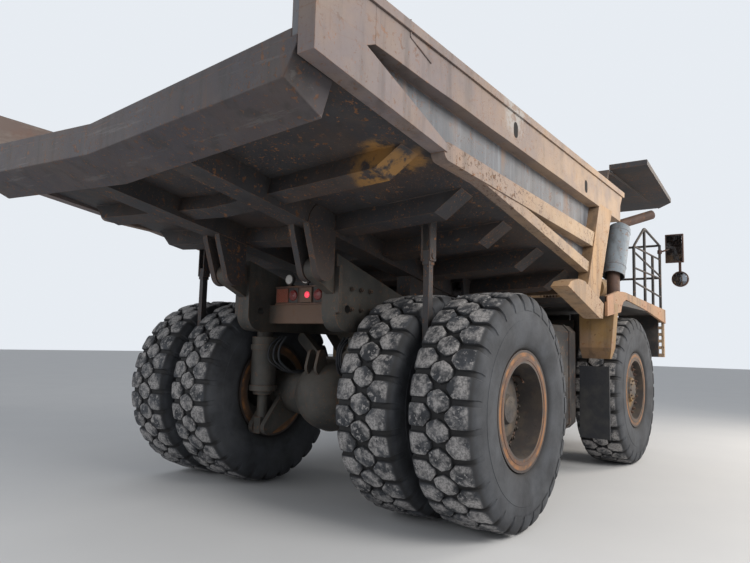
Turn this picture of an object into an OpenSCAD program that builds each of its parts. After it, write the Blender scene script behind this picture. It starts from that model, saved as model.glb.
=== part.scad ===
// Rigid-frame off-highway haul truck with a tipping dump body and twin rear tyres.
// Millimetres. X runs forward, Y to the left, Z up, and the ground is at Z = 0.
// Inside the modules X is counted from the rear axle and Z from the middle of the wheels;
// placed() stands the truck on the ground with the origin below the middle of its length.

/* [Wheels] */
// Distance between the front and the rear axle
wheelbase = 4500; // [4440:10:4600]
// Outside diameter of a tyre, over its lugs
tyre_d = 2150; // [2100:5:2160]
// Width of a tyre
tyre_w = 650; // [620:5:660]
// Depth of the grooves between the lugs
tread_h = 45; // [30:1:50]
// Diameter of the bead seats of a rim
rim_seat_d = 890; // [870:5:910]
// Height of a rim flange above the bead seat
rim_flange_h = 100; // [80:5:110]
// Width of a rim over its flanges
rim_w = 560; // [520:5:580]
// Distance from the middle of the truck to the middle of a front tyre
front_track_y = 1790; // [1770:5:1810]
// Distance from the middle of the truck to the middle of an outer rear tyre
rear_outer_y = 1980; // [1960:5:2000]
// Spacing of the twin rear tyres, middle to middle
dual_spacing = 780; // [770:5:790]

/* [Frame] */
// Space between a frame rail and the inner rear tyre
rail_to_tyre = 175; // [170:5:195]
// Width of a frame rail
rail_w = 180; // [150:5:200]
// Depth of the rails at the engine
rail_depth = 510; // [480:5:540]
// Top of the rails at the engine above the middle of the wheels
rail_top = 485; // [450:5:520]
// Front end of the rails ahead of the front axle
rail_overhang = 1400; // [1380:5:1440]

/* [Dump body] */
// Body pivot behind the rear axle
pivot_back = 1050; // [1000:5:1080]
// Height of the body pivot above the middle of the wheels
pivot_z = 1255; // [1235:5:1275]
// Rear lip of the body behind the rear axle
tail_back = 3000; // [2900:10:3050]
// Half of the inner width of the body
body_half_w = 2140; // [2100:5:2160]
// Thickness of a body side plate
side_t = 60; // [40:5:80]
// How far the side rails stand out from the side plate
side_rail_out = 120; // [90:5:130]
// Thickness of the body floor plate
floor_t = 50; // [30:5:60]
// Height of the top rails above the middle of the wheels, at the tail
top_rail_z = 2765; // [2725:5:2825]
// Depth of the V of the body floor, edge to middle
floor_vee = 154; // [120:2:170]

/* [Front end] */
// Height of the deck above the front tyres
deck_over_tyre = 180; // [170:5:200]
// Outer edge of the decks, from the middle of the truck
deck_y = 2200; // [2160:5:2240]
// Front face of the bumper ahead of the front axle
nose_overhang = 1900; // [1860:5:1950]
// Kingpin inboard of the middle of its tyre
kingpin_in = 540; // [535:5:550]
// Length of a steering arm, kingpin to ball
steer_arm = 400; // [360:5:420]
// Radius of a tow eye's bore
tow_pin_r = 32; // [26:1:34]

/* [Cab] */
// Length of the cab
cab_l = 1700; // [1600:10:1740]
// Width of the cab
cab_w = 1300; // [1240:10:1320]
// Height of the cab above its deck
cab_h = 1590; // [1540:5:1610]
// Thickness of the cab walls and of the door
cab_wall = 60; // [40:5:70]
// Space between the cab and the canopy of the body
canopy_over_cab = 140; // [120:5:180]

/* [Hoists] */
// Lower hoist pin ahead of the rear axle
hoist_low_x = 1325; // [1315:5:1340]
// Lower hoist pin below the middle of the wheels
hoist_drop = 215; // [195:5:230]
// Upper hoist pin ahead of the rear axle
hoist_top_x = 1380; // [1360:5:1400]
// Height of the upper hoist pin above the middle of the wheels
hoist_top_z = 1225; // [1215:5:1235]
// Middle of a hoist outboard of the frame rail
hoist_out = 110; // [108:1:115]
// Radius of a hoist barrel
hoist_r = 92; // [85:1:95]

/* [Hidden] */
// Radial gap of pins and shafts in their bores, and of pieces on their seats
gap = 0.3;
// Gap between pieces that move past each other
clear = 5;
// How far joined solids reach into each other
weld = 1;
tyre_r = tyre_d / 2;
rear_inner_y = rear_outer_y - dual_spacing;
seat_r = rim_seat_d / 2;
flange_r = seat_r + rim_flange_h;
flange_t = 30;
barrel_t = 20;
rail_y = rear_inner_y - tyre_w / 2 - rail_to_tyre;
rail_in = rail_y - rail_w;
rail_bottom = rail_top - rail_depth;
rail_front = wheelbase + rail_overhang;
nose_x = wheelbase + nose_overhang;
middle_x = (nose_x - tail_back) / 2;
kingpin_y = front_track_y - kingpin_in;
spindle_r = 250;
front_spindle_r = 120;

deck_z = tyre_r + deck_over_tyre;
deck_t = 80;
deck_rear = wheelbase - 1380;
deck_front = wheelbase + 1420;
grille_x = rail_front - 180;
cab_rear = wheelbase - 740;
cab_front = cab_rear + cab_l;
cab_y = 430;
cab_side = cab_y + cab_w;
cab_floor = deck_z + gap;
cab_top = deck_z + cab_h;
canopy_z = cab_top + canopy_over_cab;

// Lower edge of the body sides: [x, z]
edge_tail = [-tail_back, 2370];
edge_kink = [-1480, 1985];
edge_front = [wheelbase - 2520, 1385];
floor_slope = atan((edge_kink[1] - edge_front[1]) / (edge_front[0] - edge_kink[0]));
tail_slope = atan((edge_tail[1] - edge_kink[1]) / (edge_kink[0] - edge_tail[0]));
top_front = [edge_front[0] + 820, top_rail_z - 120];
beam_depth = 150;

paint = [0.72, 0.55, 0.24];
steel = [0.36, 0.35, 0.30];
dark = [0.12, 0.12, 0.12];
rubber = [0.16, 0.16, 0.15];

// Height of the lower edge of the body side at a given x
function edge_z(x) = x < edge_kink[0]
    ? edge_kink[1] + (edge_kink[0] - x) * tan(tail_slope)
    : edge_kink[1] - (x - edge_kink[0]) * tan(floor_slope);

// Stands the truck on the ground with the origin below the middle of its length
module placed() translate([-middle_x, 0, tyre_r]) children();

// The left piece, mirrored to the right where left is false
module on_side(left) {
    if (left) children();
    else mirror([0, 1, 0]) children();
}

module both_sides() {
    children();
    mirror([0, 1, 0]) children();
}

// An outline in X and Z, thick from y0 to y1
module side_plate(y0, y1) translate([0, y1, 0]) rotate([90, 0, 0]) linear_extrude(y1 - y0) children();

// An outline in Y and Z, long from x0 to x1
module cross_plate(x0, x1) translate([x0, 0, 0]) rotate([90, 0, 90]) linear_extrude(x1 - x0) children();

// A box from one corner to the opposite one
module block(low, high) translate(low) cube(high - low);

// A cylinder along Y from y0 to y1
module y_rod(x, z, r, y0, y1) translate([x, y1, z]) rotate([90, 0, 0]) cylinder(r = r, h = y1 - y0, $fn = 64);

// A cylinder along X from x0 to x1
module x_rod(y, z, r, x0, x1) translate([x0, y, z]) rotate([0, 90, 0]) cylinder(r = r, h = x1 - x0, $fn = 64);

// A cylinder along Z from z0 to z1
module z_rod(x, y, r, z0, z1) translate([x, y, z0]) cylinder(r = r, h = z1 - z0, $fn = 64);

// A cylinder between two points
module tube(a, b, r) {
    d = b - a;
    translate(a) rotate([0, acos(d[2] / norm(d)), atan2(d[1], d[0])])
        cylinder(r = r, h = norm(d), $fn = 32);
}

// Flat link with round ends of radius ra at a and rb at b
module link(a, ra, b, rb) {
    d = b - a;
    turn = atan2(d[1], d[0]);
    lean = acos((ra - rb) / norm(d));
    polygon([for (e = [[a, ra, 1], [b, rb, 1], [b, rb, -1], [a, ra, -1]])
        e[0] + e[1] * [cos(turn + e[2] * lean), sin(turn + e[2] * lean)]]);
    translate(a) circle(r = ra, $fn = 48);
    translate(b) circle(r = rb, $fn = 48);
}

// Tyres and rims

// The tread is a row of middle lugs between two rows of side lugs that are half a pitch ahead
pitches = 17;
pitch_a = 360 / pitches;
side_lug = 0.36;
side_lug_inner = 0.3;
middle_lug = 0.36;
bulge_r = tyre_d * 0.365;
// The bead tucks in behind the flange on a straight line from the bulge
flange_share = (flange_r - seat_r) / (bulge_r - seat_r);
bead_y = (rim_w / 2 - flange_t - clear - flange_share * tyre_w / 2) / (1 - flange_share);
// Lugs end at this radius, so that the flats between their corners stand on the ground
lug_top_r = tyre_r / cos(pitch_a * (0.5 - middle_lug));
groove_r = tyre_r - tread_h;

// Corners of one side of a pitch: [radius, distance from the middle plane, place along the pitch]
side_corners = [
    [(seat_r + gap) / cos(pitch_a / 2), bead_y, 0],
    [bulge_r / cos(pitch_a / 2), tyre_w / 2, 0],
    [tyre_r * 0.9, tyre_w / 2 - 4, -side_lug],
    [tyre_r * 0.9, tyre_w / 2 - 4, side_lug],
    [lug_top_r - 14, tyre_w / 2 - 72, -side_lug],
    [lug_top_r - 14, tyre_w / 2 - 72, side_lug],
    [lug_top_r, 130, -side_lug_inner],
    [lug_top_r, 130, side_lug_inner],
    [groove_r, 122, -side_lug_inner - 0.02],
    [groove_r, 122, side_lug_inner + 0.02]];
// Corners of a middle lug, its four tops and then its four feet, in the same columns
middle_corners = [for (e = [[lug_top_r, 88, middle_lug], [groove_r, 94, middle_lug + 0.015]])
    for (c = [[-1, -1], [1, -1], [1, 1], [-1, 1]]) [e[0], c[0] * e[1], 0.5 + c[1] * e[2]]];
side_n = len(side_corners);
pitch_n = 2 * side_n + len(middle_corners);

function quad(a, b, c, d) = [[a, b, c], [a, c, d]];
function turned(faces) = [for (f = faces) [f[2], f[1], f[0]]];

// Faces of one side of the pitch whose corners start at i; p and n are the pitches before and after
function side_faces(p, i, n, o, m) = concat(
    quad(i + o + 1, n + o + 1, n + o, i + o),
    [[i + o + 2, i + o + 3, i + o + 1], [i + o + 3, n + o + 1, i + o + 1], [i + o + 3, n + o + 2, n + o + 1]],
    quad(i + o + 4, i + o + 5, i + o + 3, i + o + 2),
    quad(i + o + 6, i + o + 7, i + o + 5, i + o + 4),
    quad(i + o + 8, i + o + 9, i + o + 7, i + o + 6),
    quad(i + o + 5, i + o + 7, i + o + 9, i + o + 3),
    quad(i + o + 2, i + o + 8, i + o + 6, i + o + 4),
    quad(i + o + 9, n + o + 8, n + o + 2, i + o + 3),
    quad(i + m[0], i + m[1], n + o + 8, i + o + 9),
    quad(p + m[1], i + m[0], i + o + 9, i + o + 8),
    quad(i + m[2], i + m[3], i + m[1], i + m[0]));

// The middle lug's top and ends, the groove behind it, and the bore
function middle_faces(p, i, n) = concat(
    quad(i + 20, i + 23, i + 22, i + 21),
    quad(i + 20, i + 21, i + 25, i + 24),
    quad(i + 22, i + 23, i + 27, i + 26),
    quad(i + 24, i + 25, p + 26, p + 27),
    quad(i + side_n, n + side_n, n, i));

module tyre(y) translate([0, y, 0]) polyhedron(
    points = [for (i = [0:pitches - 1]) for (c = concat(
            [for (s = side_corners) [s[0], -s[1], s[2]]], side_corners, middle_corners))
        [c[0] * sin((i + c[2]) * pitch_a), c[1], -c[0] * cos((i + c[2]) * pitch_a)]],
    faces = [for (k = [0:pitches - 1])
        let (i = k * pitch_n, n = (k + 1) % pitches * pitch_n, p = (k + pitches - 1) % pitches * pitch_n)
        for (f = concat(turned(side_faces(p, i, n, 0, [24, 27, 20, 23])),
            side_faces(p, i, n, side_n, [25, 26, 21, 22]), middle_faces(p, i, n))) f],
    convexity = 8);

// Section of a rim barrel with its two flanges
module rim_section() {
    translate([seat_r - barrel_t, -rim_w / 2]) square([barrel_t, rim_w]);
    for (y = [-rim_w / 2, rim_w / 2 - flange_t])
        translate([seat_r - barrel_t / 2, y]) square([flange_r - seat_r + barrel_t / 2, flange_t]);
}

// Turned piece round the wheel's own axis: the outline's x is the radius, its y the place on Y
module turned_on_axle(x) translate([x, 0, 0]) rotate([-90, 0, 0]) rotate_extrude($fn = 96) children();

module rear_tyres(left) color(rubber) placed() on_side(left) {
    tyre(rear_inner_y);
    tyre(rear_outer_y);
}

module front_tyre(left) color(rubber) placed() on_side(left) translate([wheelbase, 0, 0]) tyre(front_track_y);

hub_in = rear_inner_y + 100;
hub_out = rear_outer_y + 40;
hub_r = 380;
rim_in_r = seat_r - barrel_t / 2;
module rear_rims(left) color(paint) placed() on_side(left) difference() {
    turned_on_axle(0) {
        translate([0, rear_inner_y]) rim_section();
        translate([0, rear_outer_y]) rim_section();
        // Spacer band between the two rims
        translate([seat_r - barrel_t, rear_inner_y + rim_w / 2 - weld])
            square([barrel_t, dual_spacing - rim_w + 2 * weld]);
        translate([0, hub_in]) square([hub_r, hub_out - hub_in]);
        translate([hub_r - 10, hub_in]) square([rim_in_r - hub_r + 10, 45]);
        translate([hub_r - 10, rear_outer_y - 40]) square([rim_in_r - hub_r + 10, 50]);
        // Dished cover of the final drive
        polygon([[0, hub_out - weld], [340, hub_out - weld], [330, hub_out + 18], [250, hub_out + 60],
            [140, hub_out + 70], [120, hub_out + 105], [0, hub_out + 105]]);
    }
    y_rod(0, 0, spindle_r + gap, hub_in - 1, rear_outer_y - 60);
}

module front_rim(left) color(paint) placed() on_side(left) difference() {
    turned_on_axle(wheelbase) {
        translate([0, front_track_y]) rim_section();
        translate([290, front_track_y + 130]) square([rim_in_r - 290, 40]);
        translate([0, front_track_y - 150]) square([300, 340]);
        polygon([[0, front_track_y + 189], [185, front_track_y + 189], [170, front_track_y + 236],
            [90, front_track_y + 249], [0, front_track_y + 249]]);
    }
    y_rod(wheelbase, 0, front_spindle_r + gap, front_track_y - 151, front_track_y + 120);
}

// Frame

// Top edge of the rails from the body pivot to the engine: [x, z]
rail_crest = [[240, 1115], [wheelbase - 2550, 818]];
rear_plate_x = -830;
rear_plate_r = 180;
rear_plate_low = 675;
// Rails from the side: [x, z]
rail_outline = [[rear_plate_x, 1425], rail_crest[0], rail_crest[1], [wheelbase - 1900, rail_top],
    [rail_front, rail_top], [rail_front, rail_bottom], [1350, rail_bottom], [650, rear_plate_low],
    [rear_plate_x + rear_plate_r, rear_plate_low], [rear_plate_x, rear_plate_low + rear_plate_r]];
lug_t = 100;
lug_y = rail_y - 80;
pivot_r = 60;
strut_r = 150;
strut_bottom = 275;
strut_top = deck_z - deck_t - 50;
a_frame_x = 1480;
a_frame_z = -275;
a_ball_r = 110;
cross_drop = -85;

module frame() color(steel) placed() {
    both_sides() {
        difference() {
            side_plate(rail_in, rail_y) {
                polygon(rail_outline);
                // Rounded lower corner of the rear plate
                translate([rear_plate_x + rear_plate_r, rear_plate_low + rear_plate_r])
                    circle(r = rear_plate_r, $fn = 64);
            }
            y_rod(rear_plate_x + rear_plate_r, rear_plate_low + 220, 42, rail_in - 1, rail_y + 1);
        }
        // Flange along the rear edge of the plate
        side_plate(rail_y - weld, rail_y + 35) polygon([[rear_plate_x, 1300], [rear_plate_x + 45, 1290],
            [rear_plate_x + 45, rear_plate_low + rear_plate_r], [rear_plate_x, rear_plate_low + rear_plate_r]]);
        // Lug that carries the body pivot
        difference() {
            side_plate(lug_y - lug_t / 2, lug_y + lug_t / 2)
                link([-pivot_back, pivot_z], 110, [-700, pivot_z - 60], 200);
            y_rod(-pivot_back, pivot_z, pivot_r + gap, rail_in - 20, rail_y + 20);
        }
        // Tower that holds the front strut
        difference() {
            block([wheelbase - 200, rail_y - weld, 375], [wheelbase + 200, kingpin_y - 40, strut_top - 100]);
            z_rod(wheelbase, kingpin_y, strut_r + gap, 0, deck_z);
        }
        // Posts under the decks
        for (x = [wheelbase - 1080, wheelbase + 1060])
            block([x, rail_in, rail_top - weld], [x + 160, rail_y, deck_z - deck_t - gap]);
        // Pin and bracket of the hoist's lower end
        y_rod(hoist_low_x, -hoist_drop, hoist_pin_r, rail_y - 60, hoist_y + hoist_eye + 19);
        side_plate(rail_y - 60, rail_y)
            link([hoist_low_x, -hoist_drop], 85, [hoist_low_x, rail_bottom + 160], 160);
    }
    // Cross members: [x, z, height]
    for (c = [[-520, 765, 200], [1450, 135, 170], [wheelbase - 850, 275, 170]])
        block([c[0], -rail_in - weld, c[1]], [c[0] + 200, rail_in + weld, c[1] + c[2]]);
    // Dropped cross member that holds the ball of the A frame
    cross_plate(a_frame_x - 100, a_frame_x + 100) polygon([[-rail_y, rail_bottom + weld], [-rail_y, cross_drop],
        [-rail_in, a_frame_z + a_ball_r + gap], [rail_in, a_frame_z + a_ball_r + gap], [rail_y, cross_drop],
        [rail_y, rail_bottom + weld], [rail_in, rail_bottom + weld], [rail_in - 60, cross_drop + 10],
        [60 - rail_in, cross_drop + 10], [-rail_in, rail_bottom + weld]]);
    block([rail_front - 220, -rail_in - weld, rail_bottom], [rail_front - 20, rail_in + weld, rail_bottom + 240]);
}

tow_y = rail_y - 80;
tow_z = -215;
tow_eye_r = tow_pin_r + 30;
tow_eye_x = nose_x - tow_eye_r;
bumper_back = 110;
bumper_half = 1500;
head_lamp = [1180, 45, 95];

module bumper() color(paint) placed() {
    difference() {
        cross_plate(rail_front + gap, nose_x - bumper_back) polygon([[-bumper_half, -175], [-1250, -355],
            [1250, -355], [bumper_half, -175], [bumper_half, 225], [1400, 305], [-1400, 305], [-bumper_half, 225]]);
        // Openings for the lamps
        both_sides() x_rod(head_lamp[0], head_lamp[1], head_lamp[2] + gap, nose_x - 190, nose_x);
        // Slot between the tow eyes
        cross_plate(nose_x - bumper_back - 60, nose_x) link([-340, 60], 70, [340, 60], 70);
    }
    // Tow eyes
    both_sides() difference() {
        side_plate(tow_y - 40, tow_y + 40) link([tow_eye_x, tow_z], tow_eye_r, [nose_x - 160, tow_z], 90);
        y_rod(tow_eye_x, tow_z, tow_pin_r, tow_y - 41, tow_y + 41);
    }
}

engine_x = [wheelbase - 550, wheelbase + 850];
engine_half = rail_in - 90;
gearbox_x = [2050, wheelbase - 1200];
shaft_z = 20;
module powertrain() color(steel) placed() {
    block([engine_x[0], -engine_half, 105], [engine_x[1], engine_half, 975]);
    block([gearbox_x[0], 190 - rail_in, -75], [gearbox_x[1], rail_in - 190, 405]);
    x_rod(0, 165, 80, gearbox_x[1] - 10, engine_x[0] + 10);
    x_rod(0, shaft_z, 75, 660 + gap, gearbox_x[0] + 10);
    x_rod(0, shaft_z, 115, 660 + gap, 720);
}

// Running gear

strut_back = 400;
strut_low = -385;
strut_pin_r = 40;

module rear_axle() color(steel) placed() {
    translate([-40, 0, 0]) sphere(r = 390, $fn = 64);
    x_rod(0, 0, 400, -70, -10);
    x_rod(0, shaft_z, 200, 0, 560);
    x_rod(0, shaft_z, 120, 550, 660);
    both_sides() {
        rotate([-90, 0, 0]) {
            cylinder(r1 = 330, r2 = 225, h = 620, $fn = 64);
            translate([0, 0, 610]) cylinder(r = 225, h = hub_in - 40 - 610, $fn = 64);
            translate([0, 0, hub_in - 140]) cylinder(r = 330, h = 100, $fn = 64);
            translate([0, 0, hub_in - 45]) cylinder(r = spindle_r, h = rear_outer_y - 80 - hub_in + 45, $fn = 64);
        }
        // Ears that carry the suspension cylinder
        for (y = [rail_y - 125, rail_y + 65])
            side_plate(y, y + 60) link([-strut_back, strut_low], 80, [0, -60], 190);
        y_rod(-strut_back, strut_low, strut_pin_r, rail_y - 100, rail_y + 100);
        // Arms of the A frame to the cross member
        translate([0, 0, a_frame_z]) linear_extrude(a_ball_r) link([120, 420], 90, [a_frame_x, 60], 70);
        // Upper links to the rails
        cross_plate(-60, 40) link([150, 355], 60, [rail_in - 70, 615], 60);
        // Lifting lug on the housing
        side_plate(50, 85) link([-300, 300], 90, [-300, 440], 50);
    }
    z_rod(a_frame_x, 0, a_ball_r, a_frame_z - 20, a_frame_z + a_ball_r);
    block([-60, -190, 305], [40, 190, 415]);
}

// Turned parts of a suspension cylinder, from the top down: [radius, z0, z1]
rear_strut_parts = [[90, 605, 675 - gap], [140, 15, 615], [154, 470, 530], [154, 15, 75], [110, -25, 25],
    [58, -295, -15]];
module rear_struts() color(steel) placed() both_sides() {
    for (p = rear_strut_parts) z_rod(-strut_back, rail_y, p[0], p[1], p[2]);
    difference() {
        block([-strut_back - 70, rail_y - 50 + gap, strut_low - 70], [-strut_back + 70, rail_y + 50 - gap, -275]);
        y_rod(-strut_back, strut_low, strut_pin_r + gap, rail_y - 60, rail_y + 60);
    }
}

piston_r = 105;
module front_struts() color(steel) placed() both_sides() difference() {
    union() {
        z_rod(wheelbase, kingpin_y, strut_r, strut_bottom, strut_top);
        z_rod(wheelbase, kingpin_y, strut_r + 14, strut_bottom, strut_bottom + 60);
    }
    z_rod(wheelbase, kingpin_y, piston_r + gap, strut_bottom - 1, strut_bottom + 500);
}

steer_z = -145;
ball_r = 30;
module knuckle(left) color(steel) placed() on_side(left) translate([wheelbase, kingpin_y, 0]) {
    z_rod(0, 0, 135, -195, strut_bottom - clear);
    z_rod(0, 0, piston_r, -75, strut_bottom + 490);
    y_rod(0, 0, front_spindle_r, 0, front_track_y + 110 - kingpin_y);
    y_rod(0, 0, 200, 110, front_track_y - 150 - clear - kingpin_y);
    translate([0, 0, steer_z + 55]) linear_extrude(60) link([0, 0], 120, [-steer_arm, 0], 50);
    z_rod(-steer_arm, 0, ball_r, steer_z - 40, steer_z + 60);
}

module tie_rod() color(steel) placed() translate([wheelbase - steer_arm, 0, steer_z]) difference() {
    union() {
        y_rod(0, 0, 36, -kingpin_y, kingpin_y);
        for (y = [-kingpin_y, kingpin_y]) z_rod(0, y, 62, -35, 35);
    }
    z_rod(0, -kingpin_y, ball_r + gap, -40, 40);
    z_rod(0, kingpin_y, ball_r + clear, -40, 40);
}

// Tanks

tank_in = rail_y + 260;
tank_x = [tyre_r + 675, deck_rear - 220];

// Outline of a tank from behind, its corners cut off
module tank_section(y0, y1, z0, z1, cut) polygon([[y0, z0 + cut], [y0 + cut, z0], [y1 - cut, z0], [y1, z0 + cut],
    [y1, z1 - cut], [y1 - cut, z1], [y0 + cut, z1], [y0, z1 - cut]]);

// Two brackets that hang a tank on the rail
module tank_brackets(x0, x1) for (x = [x0, x1]) block([x, rail_y + gap, 45], [x + 100, tank_in + 5, 325]);

module fuel_tank() color(dark) placed() mirror([0, 1, 0]) {
    cross_plate(tank_x[0], tank_x[1]) tank_section(tank_in, 1720, -455, 875, 80);
    // Raised bands round the tank
    for (x = [tank_x[0] + 200, tank_x[1] - 260]) cross_plate(x, x + 60) tank_section(tank_in, 1732, -467, 887, 84);
    tank_brackets(tank_x[0] + 200, tank_x[1] - 250);
    z_rod(tank_x[0] + 600, 1400, 70, 865, 925);
}

module hydraulic_tank() color(paint) placed() {
    cross_plate(tank_x[0] + 50, tank_x[1] - 100) tank_section(tank_in, 1550, -265, 675, 70);
    tank_brackets(tank_x[0] + 200, tank_x[1] - 350);
    z_rod(tank_x[0] + 550, 1250, 60, 665, 725);
}

// Front end

skirt_t = 40;
hood_y = [-700, 400];
hood_top = deck_z + 570;
box_low = deck_z - 900;

module deck(left) color(paint) placed() on_side(left) {
    difference() {
        block([deck_rear - 400, gap / 2, deck_z - deck_t], [deck_front, deck_y, deck_z]);
        block([grille_x - 30, -1, deck_z - 200], [deck_front + 1, 720, deck_z + 1]);
        block([deck_rear - 401, -1, deck_z - 200], [cab_rear - 160, 1150, deck_z + 1]);
    }
    // Rear box over the mud flap, its bottom sloping up to the rail
    cross_plate(deck_rear - 190, deck_rear - 20) polygon([[1200, deck_z - deck_t + weld], [1200, box_low + 270],
        [1500, box_low], [deck_y - 130, box_low], [deck_y - 60, box_low + 70], [deck_y - 60, deck_z - deck_t + weld]]);
    // Outer skirt with its sloping lower edge
    difference() {
        side_plate(deck_y - skirt_t, deck_y) polygon([[deck_rear - 400, deck_z - weld], [deck_rear + 100, deck_z + 80],
            [deck_front, deck_z + 80], [deck_front, deck_z - 180], [deck_rear + 200, deck_z - 160],
            [deck_rear - 400, deck_z - 260]]);
        y_rod(deck_rear + 330, deck_z - 45, 60, deck_y - skirt_t - 1, deck_y + 1);
    }
    // Front plate with a row of slots
    difference() {
        block([deck_front - 60, 1650, deck_z - 770], [deck_front, deck_y - 20, deck_z - deck_t + weld]);
        for (z = [deck_z - 700:110:deck_z - 260])
            block([deck_front - 61, 1730, z], [deck_front + 1, deck_y - 100, z + 55]);
    }
}

module hood() color(paint) placed() difference() {
    side_plate(hood_y[0], hood_y[1]) polygon([[cab_rear + 100, deck_z + gap], [grille_x - 35, deck_z + gap],
        [grille_x - 35, hood_top - 60], [grille_x - 520, hood_top], [cab_rear + 100, hood_top]]);
    // Louvres in the right side
    for (x = [cab_rear + 300:140:grille_x - 400])
        block([x, hood_y[0] - 1, deck_z + 150], [x + 70, hood_y[0] + 25, hood_top - 120]);
}

grille_half = 640;
module grille() color(dark) placed() {
    difference() {
        block([grille_x, -grille_half, rail_top + gap], [rail_front, grille_half, hood_top - 120]);
        block([grille_x + 90, 80 - grille_half, rail_top + 90], [rail_front + 1, grille_half - 80, hood_top - 200]);
    }
    for (z = [rail_top + 170:150:hood_top - 260])
        block([rail_front - 60, 70 - grille_half, z], [rail_front - 20, grille_half - 70, z + 50]);
    for (y = [-280, 240]) block([rail_front - 75, y, rail_top + 80], [rail_front - 25, y + 40, hood_top - 190]);
}

door_x = [cab_rear + 570, cab_front - 310];
door_z = [deck_z + 90, cab_top - 130];
brow_z = cab_top - 960;
brow_in = 170;
window_z = brow_z + 60;
cab_outline = [[cab_rear, cab_floor], [cab_front, cab_floor], [cab_front, brow_z], [cab_front - brow_in, cab_top],
    [cab_rear, cab_top]];
cab_inside = [[cab_rear + cab_wall, cab_floor + cab_wall], [cab_front - cab_wall, cab_floor + cab_wall],
    [cab_front - cab_wall, brow_z], [cab_front - brow_in - cab_wall, cab_top - cab_wall],
    [cab_rear + cab_wall, cab_top - cab_wall]];

hinge_z = [deck_z + 230, cab_top - 360];
hinge_h = 60;
hinge_pin_r = 8;
hinge_bracket_t = 15;
door_hinge = [door_x[1] + 2, cab_side + 22];

module cab_shell() color(paint) placed() {
    cab_walls();
    // Pins of the door hinges on their brackets
    for (z = hinge_z) {
        z_rod(door_hinge[0], door_hinge[1], hinge_pin_r, z - 20, z + hinge_h + 20);
        for (e = [z - 20, z + hinge_h + clear]) {
            block([door_x[1] + 2, cab_side - weld, e],
                [door_hinge[0] + 60, door_hinge[1] + 10, e + hinge_bracket_t]);
            block([door_hinge[0] - 9, cab_side + clear, e],
                [door_hinge[0] + 1, door_hinge[1] + 10, e + hinge_bracket_t]);
        }
    }
}

glass_t = 8;
glass_in = 25;
pane_top = cab_top - 130;
// Windows left over from the door: [x, x] or [y, y] of each opening
screen_y = [cab_y + 110, cab_side - 110];
right_x = [cab_rear + 150, cab_front - 330];
side_x = [cab_rear + 120, door_x[0] - 90];

module cab_walls() difference() {
    side_plate(cab_y, cab_side) polygon(cab_outline);
    side_plate(cab_y + cab_wall, cab_side - cab_wall) polygon(cab_inside);
    // Door opening
    block([door_x[0], cab_side - cab_wall - 1, door_z[0]], [door_x[1], cab_side + 1, door_z[1]]);
    // Windscreen, rear window, right window, rear side window
    block([cab_front - 400, screen_y[0], window_z], [cab_front + 10, screen_y[1], pane_top]);
    block([cab_rear - 1, screen_y[0], window_z], [cab_rear + cab_wall + 1, screen_y[1], pane_top]);
    block([right_x[0], cab_y - 1, window_z], [right_x[1], cab_y + cab_wall + 1, pane_top]);
    block([side_x[0], cab_side - cab_wall - 1, window_z], [side_x[1], cab_side + 1, pane_top]);
}

// Leaning line of the windscreen at a share of its height
function screen_point(share, out) = let (z = window_z + gap + share * (pane_top - window_z - 2 * gap))
    [cab_front - 34 + out - brow_in * (z - brow_z) / (cab_top - brow_z), z];

module cab_glass() color([0.6, 0.75, 0.8, 0.4]) placed() {
    block([cab_rear + glass_in, screen_y[0] + gap, window_z + gap],
        [cab_rear + glass_in + glass_t, screen_y[1] - gap, pane_top - gap]);
    block([right_x[0] + gap, cab_y + glass_in, window_z + gap],
        [right_x[1] - gap, cab_y + glass_in + glass_t, pane_top - gap]);
    block([side_x[0] + gap, cab_side - glass_in - glass_t, window_z + gap],
        [side_x[1] - gap, cab_side - glass_in, pane_top - gap]);
    side_plate(screen_y[0] + gap, screen_y[1] - gap) polygon([screen_point(0, 0), screen_point(0, glass_t),
        screen_point(1, glass_t), screen_point(1, 0)]);
}

door_frame = 80;
module cab_door() color(paint) placed() {
    difference() {
        block([door_x[0] + clear, cab_side - cab_wall, door_z[0] + clear],
            [door_x[1] - clear, cab_side, door_z[1] - clear]);
        block([door_x[0] + door_frame, cab_side - cab_wall - 1, window_z],
            [door_x[1] - door_frame, cab_side + 1, door_z[1] - door_frame]);
    }
    for (z = hinge_z) difference() {
        union() {
            block([door_x[1] - 70, cab_side - weld, z], [door_x[1] - clear, cab_side + 12, z + hinge_h]);
            block([door_x[1] - 12, cab_side + 3, z], [door_hinge[0], cab_side + 12, z + hinge_h]);
            z_rod(door_hinge[0], door_hinge[1], 17, z, z + hinge_h);
        }
        z_rod(door_hinge[0], door_hinge[1], hinge_pin_r + gap, z - 1, z + hinge_h + 1);
    }
    // Grab handle
    for (z = [window_z - 400, window_z - 60]) tube([door_x[0] + 50, cab_side - weld, z],
        [door_x[0] + 50, cab_side + 45, z], 10);
    tube([door_x[0] + 50, cab_side + 45, window_z - 410], [door_x[0] + 50, cab_side + 45, window_z - 50], 12);
}

module door_glass() color([0.6, 0.75, 0.8, 0.4]) placed()
    block([door_x[0] + door_frame + gap, cab_side - glass_in - glass_t, window_z + gap],
        [door_x[1] - door_frame - gap, cab_side - glass_in, door_z[1] - door_frame - gap]);

seat_x = cab_rear + 540;
seat_y = (cab_y + cab_side) / 2;
module seat() color(dark) placed() translate([seat_x, seat_y, cab_floor + cab_wall + gap]) {
    translate([120, -160, 0]) cube([300, 320, 300]);
    translate([0, -250, 299]) cube([520, 500, 130]);
    translate([0, 0, 400]) side_plate(-240, 240) polygon([[0, 0], [130, 0], [40, 560], [-70, 560]]);
    translate([0, 0, 955]) side_plate(-140, 140) polygon([[-72, 0], [20, 0], [0, 190], [-80, 190]]);
}

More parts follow.
